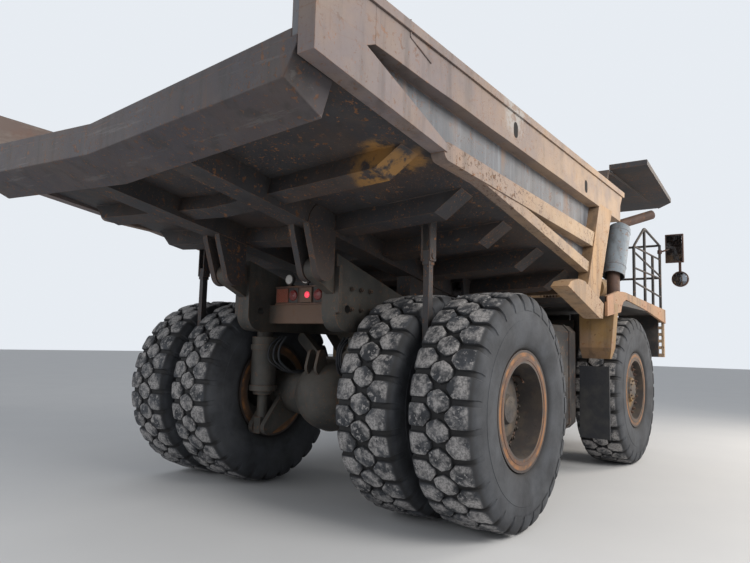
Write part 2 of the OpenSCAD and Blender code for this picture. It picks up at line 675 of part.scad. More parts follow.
dash_x = [cab_front - 330, cab_front - cab_wall - 10];
wheel_hub = [cab_front - 470, seat_y, brow_z + 80];
module dashboard() color(dark) placed() {
    side_plate(cab_y + cab_wall + 20, cab_side - cab_wall - 20) polygon([
        [dash_x[0], cab_floor + cab_wall + gap], [dash_x[1], cab_floor + cab_wall + gap],
        [dash_x[1], brow_z - 60], [cab_front - 200, brow_z], [dash_x[0], brow_z - 60]]);
    tube([cab_front - 300, seat_y, brow_z - 100], wheel_hub, 28);
    translate(wheel_hub) rotate([0, -43, 0]) {
        rotate_extrude($fn = 64) translate([190, 0]) circle(r = 16, $fn = 24);
        for (a = [0:120:240]) rotate([0, 0, a]) translate([0, -14, -8]) cube([190, 28, 16]);
    }
}

// Handrails. A route is a list of [x, y, height above the deck]
rail_post_r = 22;
rail_r = 19;
rail_h = 1080;
cage_y = deck_y - skirt_t - rail_post_r - gap;
front_post = [deck_front - 55, cage_y];
cage_top = [[cab_rear + 200, -cage_y, 780], [cab_rear + 840, -cage_y, 1180], [cab_rear + 1310, -cage_y, 900],
    [front_post[0], -cage_y, 1100]];
cage_low = [[cab_rear + 200, -cage_y, 420], [front_post[0], -cage_y, 340]];
front_run = [[front_post[0], -cage_y, 1100], [front_post[0], -800, 1100]];
left_run = [[deck_front - 470, front_post[1], rail_h], [front_post[0], front_post[1], rail_h],
    [front_post[0], 1850, rail_h]];

module rail_run(route, lift) for (i = [1:len(route) - 1])
    tube(route[i - 1] + [0, 0, deck_z + lift], route[i] + [0, 0, deck_z + lift], rail_r);
module rail_post(p) z_rod(p[0], p[1], rail_post_r, deck_z + gap, deck_z + p[2] + rail_post_r + 4);

module handrails() color(dark) placed() {
    for (p = concat(cage_top, left_run, [[front_post[0], -800, 1100], [front_post[0], -1450, 1100]])) rail_post(p);
    rail_run(cage_top, 0);
    rail_run(cage_low, 0);
    rail_run(front_run, 0);
    rail_run(front_run, -540);
    rail_run(left_run, 0);
    rail_run(left_run, -rail_h / 2);
}

module ladder() color(dark) placed() {
    foot = [nose_x - 240, 305 + gap];
    head = [deck_front + gap, deck_z];
    rise = head - foot;
    tread_n = 5;
    for (y = [880, 1380]) side_plate(y, y + 40) polygon([foot, foot + [110, 0], head + [110, 0], head]);
    for (i = [1:tread_n - 1]) translate([foot[0] + rise[0] * i / tread_n, 0, foot[1] + rise[1] * i / tread_n])
        block([-10, 919, 0], [130, 1381, 30]);
}

// Muffler in its open shroud at the rear outer corner of the right deck, leaning forward
muffler_r = 150;
muffler_foot = [deck_rear + 250, 80 - deck_y, deck_z + 330];
muffler_h = 800;
muffler_lean = 25;
module exhaust() color([0.5, 0.5, 0.52]) placed() {
    // Stand on the deck
    block([muffler_foot[0] - 70, muffler_foot[1] - 35, deck_z + gap],
        [muffler_foot[0] + 70, muffler_foot[1] + 35, deck_z + 30]);
    z_rod(muffler_foot[0], muffler_foot[1], 34, deck_z + 20, muffler_foot[2] + 40);
    translate(muffler_foot) rotate([0, muffler_lean, 0]) {
        difference() {
            union() {
                cylinder(r = muffler_r, h = muffler_h, $fn = 64);
                translate([0, 0, muffler_h - weld]) cylinder(r1 = muffler_r, r2 = 70, h = 60, $fn = 64);
            }
            translate([0, 0, -1]) cylinder(r = muffler_r - 12, h = 121, $fn = 64);
        }
        cylinder(r = 60, h = 200, $fn = 64);
        // Outlet pipe
        translate([0, 0, muffler_h + 20]) cylinder(r = 45, h = 120, $fn = 48);
    }
    bend = muffler_foot + (muffler_h + 125) * [sin(muffler_lean), 0, cos(muffler_lean)];
    tube(bend, bend + [520, 0, 190], 45);
}

air_cleaner_z = deck_z + 270;
module air_cleaners() color(paint) placed() for (y = [-1500, -1080]) {
    x_rod(y, air_cleaner_z, 180, wheelbase - 200, wheelbase + 600);
    x_rod(y, air_cleaner_z, 150, wheelbase + 595, wheelbase + 680);
    for (x = [wheelbase - 50, wheelbase + 350])
        block([x, y - 120, deck_z + gap], [x + 100, y + 120, deck_z + 150]);
}

tail_lamp_x = -540;
module lamps() color([0.8, 0.2, 0.1]) placed() {
    // Tail lamp panel on the rear cross member
    block([tail_lamp_x, -420, 965 + gap], [tail_lamp_x + 70, 420, 1165]);
    // Reversing lamps on its top edge
    for (y = [-260, -20, 220]) {
        x_rod(y, 1240, 62, tail_lamp_x, tail_lamp_x + 60);
        block([tail_lamp_x + 15, y - 20, 1160], [tail_lamp_x + 45, y + 20, 1200]);
    }
    // Head lamps in the bumper
    both_sides() x_rod(head_lamp[0], head_lamp[1], head_lamp[2], nose_x - 180, nose_x - 80);
}

// Clamped to the front corner posts of the handrails
clamp_z = deck_z + 960;
module mirrors() color(dark) placed() {
    mirror_x = front_post[0] + 75;
    both_sides() {
        difference() {
            union() {
                z_rod(front_post[0], front_post[1], rail_post_r + 14, clamp_z, clamp_z + 60);
                tube([front_post[0] + 10, front_post[1] + 10, clamp_z + 30],
                    [mirror_x + 20, deck_y + 90, clamp_z + 90], 14);
            }
            z_rod(front_post[0], front_post[1], rail_post_r + gap, clamp_z - 100, clamp_z + 200);
        }
        // Flat mirror and the round wide-angle mirror below it
        block([mirror_x, deck_y + 10, clamp_z - 150], [mirror_x + 50, deck_y + 290, clamp_z + 330]);
        x_rod(deck_y + 230, clamp_z - 430, 130, mirror_x, mirror_x + 50);
        block([mirror_x + 15, deck_y + 210, clamp_z - 310], [mirror_x + 35, deck_y + 250, clamp_z - 149]);
    }
}

module mudflaps() color(rubber) placed() both_sides()
    block([deck_rear - 60, front_track_y - 70, -585], [deck_rear - 30, front_track_y + 320, box_low - gap]);

// Dump body

// Depth of the floor's underside below the side's lower edge
function sag(y) = floor_vee * (1 - y / (body_half_w + side_t));

// V-shaped section across the body, from low to high above the floor's underside
module vee(low, high, half) polygon([[-half, low - sag(half)], [0, low - sag(0)], [half, low - sag(half)],
    [half, high - sag(half)], [0, high - sag(0)], [-half, high - sag(half)]]);

// Runs an outline in Y and Z along the floor, between two places on X
module along_floor(x0, x1) {
    slope = x1 <= edge_kink[0] ? tail_slope : floor_slope;
    translate([edge_kink[0], 0, edge_kink[1]]) rotate([0, slope, 0])
        cross_plate((x0 - edge_kink[0]) / cos(slope), (x1 - edge_kink[0]) / cos(slope)) children();
}

kink_lap = 6;
bolsters = [-1650, -800, 0, 800, edge_front[0] - 380];
bolster_w = 200;
tail_bolster_l = 400;
tail_bolster_h = 240;
long_beam_y = [rail_y - 220, rail_y + 40];
ear_t = 70;
body_pin_out = lug_y + lug_t / 2 + 10 + ear_t;
body_pin_in = lug_y - lug_t / 2 - 10 - ear_t;
pad_x = [450, edge_front[0] - 130];
floor_half = body_half_w + side_t - 10 - gap;

// The front wall leans forward from its foot to the canopy
wall_foot = edge_front + [30, -160];
wall_t = 70;

module bed_floor() color(steel) placed() {
    // Floor plate, cut to the front wall
    difference() {
        along_floor(edge_kink[0] - kink_lap, edge_front[0] + 200) vee(0, floor_t, floor_half);
        side_plate(-floor_half - 1, floor_half + 1) polygon([wall_foot - [gap, 0], top_front - [gap, 0],
            top_front + [400, 0], wall_foot + [400, -50], wall_foot - [gap, 50]]);
    }
    along_floor(edge_tail[0] + 100, edge_kink[0] + kink_lap) vee(0, floor_t, floor_half);
    // Tail bolster, upright at its rear face
    difference() {
        along_floor(edge_tail[0] - 120, edge_tail[0] + tail_bolster_l) vee(-tail_bolster_h, floor_t, floor_half);
        block([edge_tail[0] - 400, -floor_half - 1, 0], [edge_tail[0], floor_half + 1, top_rail_z]);
    }
}

// Bolsters, long beams, pads and hinge ears welded below the floor plate
module bed_beams() color(steel) placed() difference() {
    union() {
        // Cross bolsters with sloping ends
        for (x = bolsters) along_floor(x - bolster_w / 2, x + bolster_w / 2)
            polygon([[-2100, 0], [-1850, -200], [0, -floor_vee - beam_depth], [1850, -200], [2100, 0]]);
        both_sides() {
            // Long beams over the frame rails
            for (run = [[edge_kink[0] - kink_lap, edge_front[0] - 80],
                [edge_tail[0] + tail_bolster_l + gap, edge_kink[0] + kink_lap]])
                along_floor(run[0], run[1]) translate([long_beam_y[0], -floor_vee - beam_depth])
                    square([long_beam_y[1] - long_beam_y[0], beam_depth + 60]);
            // Pads that rest over the frame
            side_plate(rail_in, rail_y) polygon([for (x = pad_x) [x, edge_z(x) - 280],
                for (i = [1, 0]) [pad_x[i], rail_z(pad_x[i]) + clear]]);
            // Ears of the body pivot
            for (y = [body_pin_in, body_pin_out - ear_t]) side_plate(y, y + ear_t)
                link([-pivot_back, pivot_z], 120, [-pivot_back - 60, pivot_z + 400], 190);
            y_rod(-pivot_back, pivot_z, pivot_r, body_pin_in, body_pin_out);
            // Ears of the hoist's upper end on their base plate
            for (y = [hoist_y - hoist_ear_in - 40, hoist_y + hoist_ear_in]) side_plate(y, y + 40)
                link([hoist_top_x, hoist_top_z], 70, [hoist_top_x, hoist_top_z + 130], 90);
            block([hoist_top_x - 100, hoist_y - hoist_ear_in - 40, hoist_top_z + 125],
                [hoist_top_x + 100, hoist_y + hoist_ear_in + 40, hoist_top_z + 300]);
        }
    }
    // Cut to the underside of the floor
    along_floor(edge_kink[0] - kink_lap, edge_front[0] + 100) vee(-gap, 900, floor_half);
    along_floor(edge_tail[0], edge_kink[0] + kink_lap) vee(-gap, 900, floor_half);
}

// Height of the floor's underside
function under_z(x, y) = edge_z(x) - sag(y) / cos(floor_slope);

// Height of the rails' top between the body pivot and the engine
function rail_z(x) = rail_crest[0][1] + (x - rail_crest[0][0])
    * (rail_crest[1][1] - rail_crest[0][1]) / (rail_crest[1][0] - rail_crest[0][0]);

front_x = edge_front[0];
rib_end = [-1490, 2020];
rib_r = 80;
// Lifting slots in the top rail: [x, z]
rail_slots = [[-340, 2495], [1560, 2435]];

module bed_side(left) color(paint) placed() on_side(left) {
    out = body_half_w + side_t;
    // Side plate, seated on the floor plate and covering the end of the front wall
    side_plate(body_half_w, out) polygon([for (p = [edge_tail, edge_kink, [front_x + 190, edge_z(front_x + 190)]])
        p + [0, floor_t + 3], top_front + [60, -20], [edge_tail[0], top_rail_z]]);
    // Top rail
    difference() {
        side_plate(out - 10, out + side_rail_out) polygon([[edge_tail[0], edge_tail[1] + 60], [-2440, 2425],
            [front_x + 660, 2345], top_front, [edge_tail[0], top_rail_z]]);
        for (s = rail_slots) side_plate(out + side_rail_out - 35, out + side_rail_out + 1)
            link(s - [75, -4], 28, s + [75, -4], 28);
    }
    // Rolled lip along the rail's upper edge
    side_plate(out + side_rail_out - weld, out + side_rail_out + 18) polygon([[edge_tail[0], top_rail_z - 70],
        top_front - [40, 68], top_front, [edge_tail[0], top_rail_z]]);
    // Tail end panel down to the floor
    side_plate(out - 10, out + side_rail_out - 20) polygon([edge_tail, [-1700, edge_z(-1700)], [-1480, 1985],
        [-2300, 2440], [-2990, 2525]]);
    // Middle rib with its round end
    side_plate(out - 10, out + side_rail_out - 10) {
        polygon([rib_end - [0, rib_r], rib_end + [0, rib_r], [front_x, 1955], [front_x, 1715]]);
        translate(rib_end) circle(r = rib_r, $fn = 64);
    }
    // Lower rail along the floor
    side_plate(out - 10, out + side_rail_out - 20) polygon([[-1500, 1985], [front_x - 280, edge_z(front_x - 280)],
        [front_x - 280, edge_z(front_x - 280) + 130], [-1350, 2055]]);
    // Front post, leaning forward, and the sill below it
    side_plate(out - 10, out + side_rail_out) polygon([[front_x - 420, 1225], [front_x, 1225],
        [front_x + 660, 2355], [front_x + 260, 2355]]);
    side_plate(out - 10, out + side_rail_out + 60) polygon([[front_x - 880, 1225], [front_x - 680, 1255],
        [front_x + 170, 1255], [front_x + 220, 1175], [front_x + 120, 985], [front_x - 30, 955]]);
}

module bed_front() color(paint) placed() {
    side_plate(-body_half_w + gap, body_half_w - gap) polygon([wall_foot, wall_foot + [wall_t, 0],
        top_front + [wall_t, 0], top_front]);
    // Upright stiffeners on the outside of the front wall
    for (y = [-1650, -900, 780, 1530]) side_plate(y, y + 120) polygon([wall_foot + [wall_t - weld, 40],
        wall_foot + [wall_t + 90, 200], top_front + [wall_t + 80, -60], top_front + [wall_t - weld, -10]]);
}

canopy_front = wheelbase + 1300;
wing_out = [[230, 480], [2630, 270]];
module canopy() color(steel) placed() {
    out = body_half_w + 10;
    // Main plate, rising from the front wall and then level over the cab
    side_plate(-out, out) polygon([top_front + [0, gap], top_front + [60, gap], [top_front[0] + 230, canopy_z - 60],
        [canopy_front, canopy_z], [canopy_front, canopy_z + 45], [top_front[0] + 200, canopy_z - 15]]);
    both_sides() {
        // Side wings, narrowing to the front
        translate([0, 0, canopy_z - 10]) linear_extrude(70) polygon([[top_front[0] + wing_out[0][0], out - weld],
            [top_front[0] + wing_out[0][0], out + wing_out[0][1]], [top_front[0] + wing_out[1][0], out + wing_out[1][1]],
            [canopy_front, out - weld]]);
        // Ribs under the plate
        side_plate(1150, 1200) polygon([[top_front[0] + 230, canopy_z - 59], [canopy_front - 60, canopy_z + 1],
            [canopy_front - 60, canopy_z - 40], [top_front[0] + 330, canopy_z - 110]]);
    }
}

module rock_ejectors() color(steel) placed() both_sides() {
    y = (rear_inner_y + rear_outer_y) / 2;
    // Two hanger plates with the pin of the swinging bar
    for (e = [-50, 35]) block([-650, y + e, 1325], [-550, y + e + 15, under_z(-550, y + e) - gap]);
    y_rod(-600, 1370, 28, y - 60, y + 60);
    block([-645, y - 36, 1290], [-555, y + 36, 1420]);
    block([-635, y - 30, 425], [-565, y + 30, 1300]);
}

// Hoists

hoist_y = rail_y + hoist_out;
hoist_eye = 56;
hoist_ear_in = hoist_eye + clear;
hoist_pin_r = 45;
hoist_rest = norm([hoist_top_x - hoist_low_x, hoist_top_z + hoist_drop]);
hoist_lean = atan2(hoist_top_x - hoist_low_x, hoist_top_z + hoist_drop);
stage_r = hoist_r - 22;
hoist_rod_r = stage_r - 20;

module on_hoist(left) placed() on_side(left) translate([hoist_low_x, hoist_y, -hoist_drop])
    rotate([0, hoist_lean, 0]) children();

module hoist_barrel(left) color(steel) on_hoist(left) difference() {
    union() {
        z_rod(0, 0, hoist_r, 60, hoist_rest - 200);
        y_rod(0, 0, 80, -hoist_eye, hoist_eye);
    }
    y_rod(0, 0, hoist_pin_r + gap, -60, 60);
    z_rod(0, 0, stage_r + gap, 110, hoist_rest);
}

module hoist_stage(left) color([0.7, 0.7, 0.72]) on_hoist(left) difference() {
    z_rod(0, 0, stage_r, 120, hoist_rest - 170);
    z_rod(0, 0, hoist_rod_r + gap, 150, hoist_rest);
}

module hoist_rod(left) color([0.7, 0.7, 0.72]) on_hoist(left) {
    z_rod(0, 0, hoist_rod_r, 160, hoist_rest - 40);
    y_rod(0, hoist_rest, 62, -hoist_eye, hoist_eye);
}

frame();
bumper();
powertrain();
rear_axle();
rear_struts();
front_struts();
fuel_tank();
hydraulic_tank();
deck(false);  // deck_right
deck(true);  // deck_left
hood();
grille();
cab_shell();
cab_glass();
cab_door();
door_glass();
seat();
dashboard();
handrails();
ladder();
exhaust();
air_cleaners();
lamps();
mirrors();
mudflaps();
knuckle(false);  // knuckle_right
knuckle(true);  // knuckle_left
tie_rod();
front_tyre(false);  // front_tyre_right
front_tyre(true);  // front_tyre_left
front_rim(false);  // front_rim_right
front_rim(true);  // front_rim_left
rear_tyres(false);  // rear_tyres_right
rear_tyres(true);  // rear_tyres_left
rear_rims(false);  // rear_rims_right
rear_rims(true);  // rear_rims_left
bed_floor();
bed_beams();
bed_side(false);  // bed_side_right
bed_side(true);  // bed_side_left
bed_front();
canopy();
rock_ejectors();
hoist_barrel(false);  // hoist_barrel_right
hoist_barrel(true);  // hoist_barrel_left
hoist_stage(false);  // hoist_stage_right
hoist_stage(true);  // hoist_stage_left
hoist_rod(false);  // hoist_rod_right
hoist_rod(true);  // hoist_rod_left
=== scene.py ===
import math

import bmesh
import bpy
from mathutils import Matrix, Vector, noise


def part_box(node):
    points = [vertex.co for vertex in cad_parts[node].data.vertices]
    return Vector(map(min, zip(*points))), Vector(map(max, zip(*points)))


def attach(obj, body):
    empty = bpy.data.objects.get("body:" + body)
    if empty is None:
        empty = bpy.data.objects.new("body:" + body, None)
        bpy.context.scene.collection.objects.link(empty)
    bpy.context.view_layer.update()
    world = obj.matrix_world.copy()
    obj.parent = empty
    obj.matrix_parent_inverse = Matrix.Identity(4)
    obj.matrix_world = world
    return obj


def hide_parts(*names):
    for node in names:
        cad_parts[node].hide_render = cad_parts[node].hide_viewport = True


bl_info = {
    "name": "Haul truck dressing",
    "version": (1, 0, 0),
    "blender": (4, 5, 0),
    "location": "3D View > Sidebar > Haul truck",
    "description": "Finishes, tyres and fittings of a rigid-frame haul truck",
    "category": "Object",
}

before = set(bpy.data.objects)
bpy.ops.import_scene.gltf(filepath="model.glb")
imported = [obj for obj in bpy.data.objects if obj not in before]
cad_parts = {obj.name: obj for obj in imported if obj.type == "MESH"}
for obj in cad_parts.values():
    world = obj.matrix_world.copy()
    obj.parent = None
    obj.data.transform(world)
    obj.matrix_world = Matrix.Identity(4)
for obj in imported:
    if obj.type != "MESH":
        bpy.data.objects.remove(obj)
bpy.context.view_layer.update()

SIDES = {"right": -1, "left": 1}

# Wheels, in metres, measured from the frame
TYRE_LOW, TYRE_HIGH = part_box("front_tyre_right")
RIM_LOW, RIM_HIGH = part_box("rear_rims_left")
FRONT_RIM_LOW, FRONT_RIM_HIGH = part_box("front_rim_left")
AXLE_Z = (RIM_LOW.z + RIM_HIGH.z) / 2
TYRE_R = AXLE_Z
TYRE_W = TYRE_HIGH.y - TYRE_LOW.y
FRONT_X = (FRONT_RIM_LOW.x + FRONT_RIM_HIGH.x) / 2
FRONT_Y = abs(TYRE_LOW.y + TYRE_HIGH.y) / 2
TWIN_LOW, TWIN_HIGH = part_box("rear_tyres_left")
REAR_X = (RIM_LOW.x + RIM_HIGH.x) / 2
INNER_Y = TWIN_LOW.y + TYRE_W / 2
OUTER_Y = TWIN_HIGH.y - TYRE_W / 2


class Wire:
    """A node's output, so that shader maths can be written as a Python expression."""

    def __init__(self, finish, socket):
        self.finish = finish
        self.socket = socket

    def math(self, operation, *values):
        return self.finish.node("ShaderNodeMath", {"operation": operation}, *values)

    def __add__(self, other):
        return self.math("ADD", self, other)

    def __radd__(self, other):
        return self.math("ADD", other, self)

    def __sub__(self, other):
        return self.math("SUBTRACT", self, other)

    def __rsub__(self, other):
        return self.math("SUBTRACT", other, self)

    def __mul__(self, other):
        return self.math("MULTIPLY", self, other)

    def __rmul__(self, other):
        return self.math("MULTIPLY", other, self)

    def __pow__(self, other):
        return self.math("POWER", self, other)

    def highest(self, other):
        return self.math("MAXIMUM", self, other)

    def lowest(self, other):
        return self.math("MINIMUM", self, other)

    def size(self):
        return self.math("ABSOLUTE", self)

    def step(self, low, high):
        """0 below low, 1 above high, and smooth between them."""
        settings = {"interpolation_type": "SMOOTHSTEP"}
        return self.finish.node("ShaderNodeMapRange", settings, self, low, high, 0.0, 1.0)


class Finish:
    """One material, or the world, and the nodes that make its look."""

    def __init__(self, name, owner=None):
        self.material = owner or bpy.data.materials.new(name)
        self.material.use_nodes = True
        self.tree = self.material.node_tree
        self.tree.nodes.clear()
        self.place = None if owner else self.node("ShaderNodeTexCoord", {}, out="Object")

    def node(self, kind, settings, *values, out=0, **named):
        """Adds a node: its settings first, then the values or links of its sockets."""
        made = self.tree.nodes.new(kind)
        for key, value in settings.items():
            setattr(made, key, value)
        sockets = list(enumerate(values))
        sockets += [(key.replace("_", " "), value) for key, value in named.items()]
        for key, value in sockets:
            if isinstance(value, Wire):
                self.tree.links.new(value.socket, made.inputs[key])
            elif value is not None:
                if isinstance(value, tuple) and made.inputs[key].type == "RGBA":
                    value = (*value[:3], 1.0)
                made.inputs[key].default_value = value
        return None if out is None else Wire(self, made.outputs[out])

    def mix(self, share, first, second):
        """Colour that goes from first to second. The five sockets between serve other kinds of data."""
        return self.node("ShaderNodeMix", {"data_type": "RGBA", "clamp_factor": True},
                         share, *[None] * 5, first, second, out=2)

    def stretched(self, x, y, z):
        """The place on the part, scaled along each axis."""
        return self.node("ShaderNodeVectorMath", {"operation": "MULTIPLY"}, self.place, (x, y, z))

    def axes(self, vector=None):
        """The three numbers of a vector."""
        split = self.node("ShaderNodeSeparateXYZ", {}, vector or self.place)
        return [Wire(self, socket) for socket in split.socket.node.outputs]

    def grain(self, scale, detail=4.0, rough=0.55, place=None):
        return self.node("ShaderNodeTexNoise", {}, Vector=place or self.place, Scale=scale,
                         Detail=detail, Roughness=rough)

    def patches(self, scale, low, high, detail=5.0, place=None):
        """Irregular patches: 0 outside, 1 inside."""
        return self.grain(scale, detail, 0.6, place).step(low, high)

    def runs(self, scale, low, high):
        """Upright streaks, as running water leaves them."""
        return self.grain(scale, 5.0, 0.6, self.stretched(1.0, 1.0, 0.10)).step(low, high)

    def upward(self):
        """1 where the surface faces up, 0 where it is upright or faces down."""
        normal = self.node("ShaderNodeNewGeometry", {}, out="Normal")
        return self.axes(normal)[2].step(0.15, 0.85)

    def corners(self, reach=0.25):
        """1 deep in corners and below ledges, 0 in the open: where shade is painted."""
        return 1.0 - self.node("ShaderNodeAmbientOcclusion", {"samples": 4}, Distance=reach, out="AO")

    def edges(self, radius=0.012):
        """1 along edges, which rub bare first."""
        flat = self.node("ShaderNodeNewGeometry", {}, out="Normal")
        soft = self.node("ShaderNodeBevel", {"samples": 4}, radius)
        same = self.node("ShaderNodeVectorMath", {"operation": "DOT_PRODUCT"}, soft, flat, out="Value")
        return (1.0 - same).step(0.01, 0.12)

    def spot(self, middle, low, high):
        """1 within a distance of a place on the part, with a ragged border."""
        apart = self.node("ShaderNodeVectorMath", {"operation": "DISTANCE"}, self.place, middle,
                          out="Value")
        return 1.0 - (apart + (self.grain(6.0, 6.0) - 0.5) * 0.35).step(low, high)

    def start(self, share, first, second):
        """The first colour, which goes from first to second."""
        self.colour = self.mix(share, first, second)

    def coat(self, share, colour):
        """Lays a colour over the one so far, whole where share is 1."""
        self.colour = self.mix(share, self.colour, colour)

    def close(self, rough, height=None, depth=0.002, strength=0.6, metal=0.0, **fixed):
        """Ends the material in one Principled shader, with a bump from height."""
        normal = None
        if height is not None:
            normal = self.node("ShaderNodeBump", {}, Strength=strength, Distance=depth, Height=height)
        shader = self.node("ShaderNodeBsdfPrincipled", {}, Base_Color=self.colour, Roughness=rough,
                           Metallic=metal, Normal=normal, **fixed)
        self.node("ShaderNodeOutputMaterial", {"is_active_output": True}, shader, out=None)
        return self.material

    def painted(self, paint, depth=0.002, **wear):
        """Ends the material as weathered paint and nothing else."""
        return self.close(*weathered(self, paint, **wear), depth)


# Finishes. Each maker is handed an empty finish that bears the maker's name

DUST = (0.29, 0.25, 0.21)
RUST = (0.13, 0.055, 0.022)
BARE_RUST = (0.27, 0.12, 0.05)
# Near-black of grime and oil, also used for the painted shade in corners
GRIME_AND_SHADE = (0.030, 0.028, 0.027)
STEEL_BARE = (0.34, 0.33, 0.32)


def weathered(finish, paint, dust=0.5, chips=0.5, streaks=0.5, faded=None, fade=0.0, dark=0.7):
    """Paint with sun fading, running grime, dust, and chips and edges down to rust, and painted shade in its
    corners, as strong as dark.

    Gives the finish its colour, and returns its roughness and height.
    """
    broad = finish.grain(0.9, 3.0)
    fine = finish.grain(11.0, 7.0, 0.68)
    pits = finish.grain(70.0, 3.0, 0.6)
    finish.start(broad.step(0.35, 0.65) * 0.4, paint, tuple(c * 0.70 for c in paint))
    if fade:
        finish.coat(finish.patches(1.6, 0.42, 0.62) * fade, faded)
    finish.coat((fine - 0.5) * 0.9, tuple(c * 1.5 for c in paint))
    finish.coat(finish.runs(6.0, 0.48, 0.68) * streaks, GRIME_AND_SHADE)
    finish.coat(finish.runs(14.0, 0.60, 0.72) * streaks * 0.7, RUST)
    mud = finish.patches(2.6, 0.44, 0.66) * 0.55 + finish.upward() * 0.6
    dusty = mud.lowest(1.0) * dust
    finish.coat(dusty, DUST)
    specks = finish.patches(46.0, 0.60, 0.64, 4.0) * finish.patches(2.1, 0.40, 0.56) * chips
    chipped = finish.patches(17.0, 0.60, 0.63, 8.0) * finish.patches(1.3, 0.40, 0.56) * chips
    chipped = chipped.highest(specks)
    rubbed = finish.edges() * finish.patches(8.0, 0.40, 0.55) * 0.6
    bare = finish.mix(fine.step(0.4, 0.6), RUST, BARE_RUST)
    finish.coat(chipped.highest(rubbed), bare)
    # Corners and the undersides of ledges are darkened: painted shade
    finish.coat(finish.corners() * dark, GRIME_AND_SHADE)
    rough = 0.55 + fine * 0.2 + dusty * 0.2 + chipped * 0.15
    height = fine * 0.6 + pits * 0.15 + dusty * 0.3 - chipped * 0.7
    return rough.lowest(0.95), height


# The fender paint is darkened to the colour of the rear box in shade: painted shade
def fender_paint(finish):
    return finish.painted((0.30, 0.180, 0.065), dust=0.45, chips=0.8, streaks=0.45,
                          faded=(0.27, 0.165, 0.12), fade=0.6)


def sunlit_skirt_paint(finish):
    """Edge of the fenders: the fender paint made lighter and pinkish-orange, a lit copy of it: painted
    sunlight.
    """
    return finish.painted((0.40, 0.215, 0.120), dust=0.35, chips=0.9, streaks=0.4,
                          faded=(0.30, 0.20, 0.10), fade=0.6)


def cab_paint(finish):
    return finish.painted((0.40, 0.27, 0.10), dust=0.5, chips=0.35, streaks=0.35)


def rail_paint(finish):
    """Top rail and tail panels: paint gone mauve-grey under dust, and lighter and warmer towards the front,
    which is painted sunlight.
    """
    rough, height = weathered(finish, (0.195, 0.160, 0.160), dust=0.30, chips=0.5,
                              streaks=0.35, faded=(0.26, 0.18, 0.13), fade=0.5)
    # Lighter orange-tan towards the front: painted sunlight
    painted_sunlight = finish.axes()[0].step(-3.8, 0.9) * (0.35 + 0.5 * finish.patches(4.0, 0.35, 0.65))
    finish.coat(painted_sunlight, (0.42, 0.285, 0.18))
    scraped = finish.spot(SCRAPED, 0.12, 0.34) * finish.patches(11.0, 0.45, 0.58)
    finish.coat(scraped * 0.8, STEEL_BARE)
    return finish.close(rough, height, 0.004)


def recess_paint(finish):
    """Side plate between the ribs: blue-grey with upright runs."""
    rough, height = weathered(finish, (0.135, 0.145, 0.165), dust=0.12, chips=0.6,
                              streaks=0.35, faded=(0.18, 0.18, 0.19), fade=0.6, dark=0.5)
    finish.coat(finish.runs(11.0, 0.50, 0.68) * 0.40, (0.25, 0.27, 0.31))
    finish.coat(finish.runs(4.0, 0.58, 0.70) * 0.6, (0.23, 0.13, 0.075))
    return finish.close(rough, height, 0.004)


def rib_paint(finish):
    """Middle and lower ribs: tan, pitted with rust, and lighter towards the front, which is painted sunlight.
    """
    rough, height = weathered(finish, (0.235, 0.175, 0.150), dust=0.25, chips=1.0,
                              streaks=0.4, faded=(0.30, 0.19, 0.12), fade=0.6)
    # Lighter tan towards the front: painted sunlight
    painted_sunlight = finish.axes()[0].step(-3.4, 0.3) * (0.45 + 0.5 * finish.patches(3.5, 0.35, 0.62))
    finish.coat(painted_sunlight, (0.45, 0.315, 0.195))
    pits = finish.patches(34.0, 0.56, 0.61, 5.0) * finish.patches(1.9, 0.40, 0.55)
    finish.coat(pits * 0.85, (0.105, 0.060, 0.040))
    return finish.close(rough, height - pits * 0.5, 0.005)


def sill_paint(finish):
    return finish.painted((0.42, 0.25, 0.12), 0.004, dust=0.3, chips=0.8, streaks=0.4,
                          faded=(0.33, 0.25, 0.19), fade=0.5)


def worn_plate(finish):
    """Underside of the dump body: scale with rust and old mud, its colour darkened as painted shade."""
    # The dark base colour paints the shade under the body
    rough, height = weathered(finish, (0.037, 0.036, 0.041), dust=0.10, chips=0.9,
                              faded=(0.075, 0.046, 0.032), fade=0.5, dark=0.85)
    left_over = finish.spot(PAINT_LEFT, 0.16, 0.34) * (finish.patches(9.0, 0.38, 0.52) * 0.85)
    finish.coat(left_over, (0.36, 0.185, 0.050))
    return finish.close(rough, height, 0.006)


def tail_plate(finish):
    """Rear face of the tail bolster: brown-grey, scraped along its length."""
    rough, height = weathered(finish, (0.068, 0.060, 0.068), dust=0.12, chips=0.6,
                              faded=(0.095, 0.070, 0.062), fade=0.5, dark=0.6)
    scrapes = finish.grain(9.0, 6.0, 0.7, finish.stretched(1.0, 0.12, 1.6)).step(0.56, 0.66)
    finish.coat(scrapes * 0.15, STEEL_BARE)
    return finish.close(rough, height, 0.006)


def bed_lining(finish):
    """Inside of the dump body, ground bare by rock."""
    slides = finish.grain(5.0, 7.0, 0.7, finish.stretched(0.15, 1.5, 1.0)).step(0.42, 0.62)
    finish.start(slides, (0.13, 0.085, 0.070), (0.24, 0.20, 0.18))
    finish.coat(finish.patches(2.2, 0.44, 0.62) * 0.7, (0.15, 0.070, 0.045))
    return finish.close(0.5 + slides * 0.2, slides, 0.004)


def oily_steel(finish):
    """Frame and axle, black with oil and darkened further as painted shade, and browner on the cross beam."""
    # The base colour is darkened to paint the shade under the truck
    rough, height = weathered(finish, (0.048, 0.049, 0.046), dust=0.22, chips=0.4,
                              streaks=0.6, faded=(0.080, 0.062, 0.045), fade=0.5, dark=0.85)
    finish.coat(finish.spot(CROSS_BEAM, 0.32, 0.50) * 0.7, (0.17, 0.095, 0.060))
    return finish.close(rough, height, 0.005)


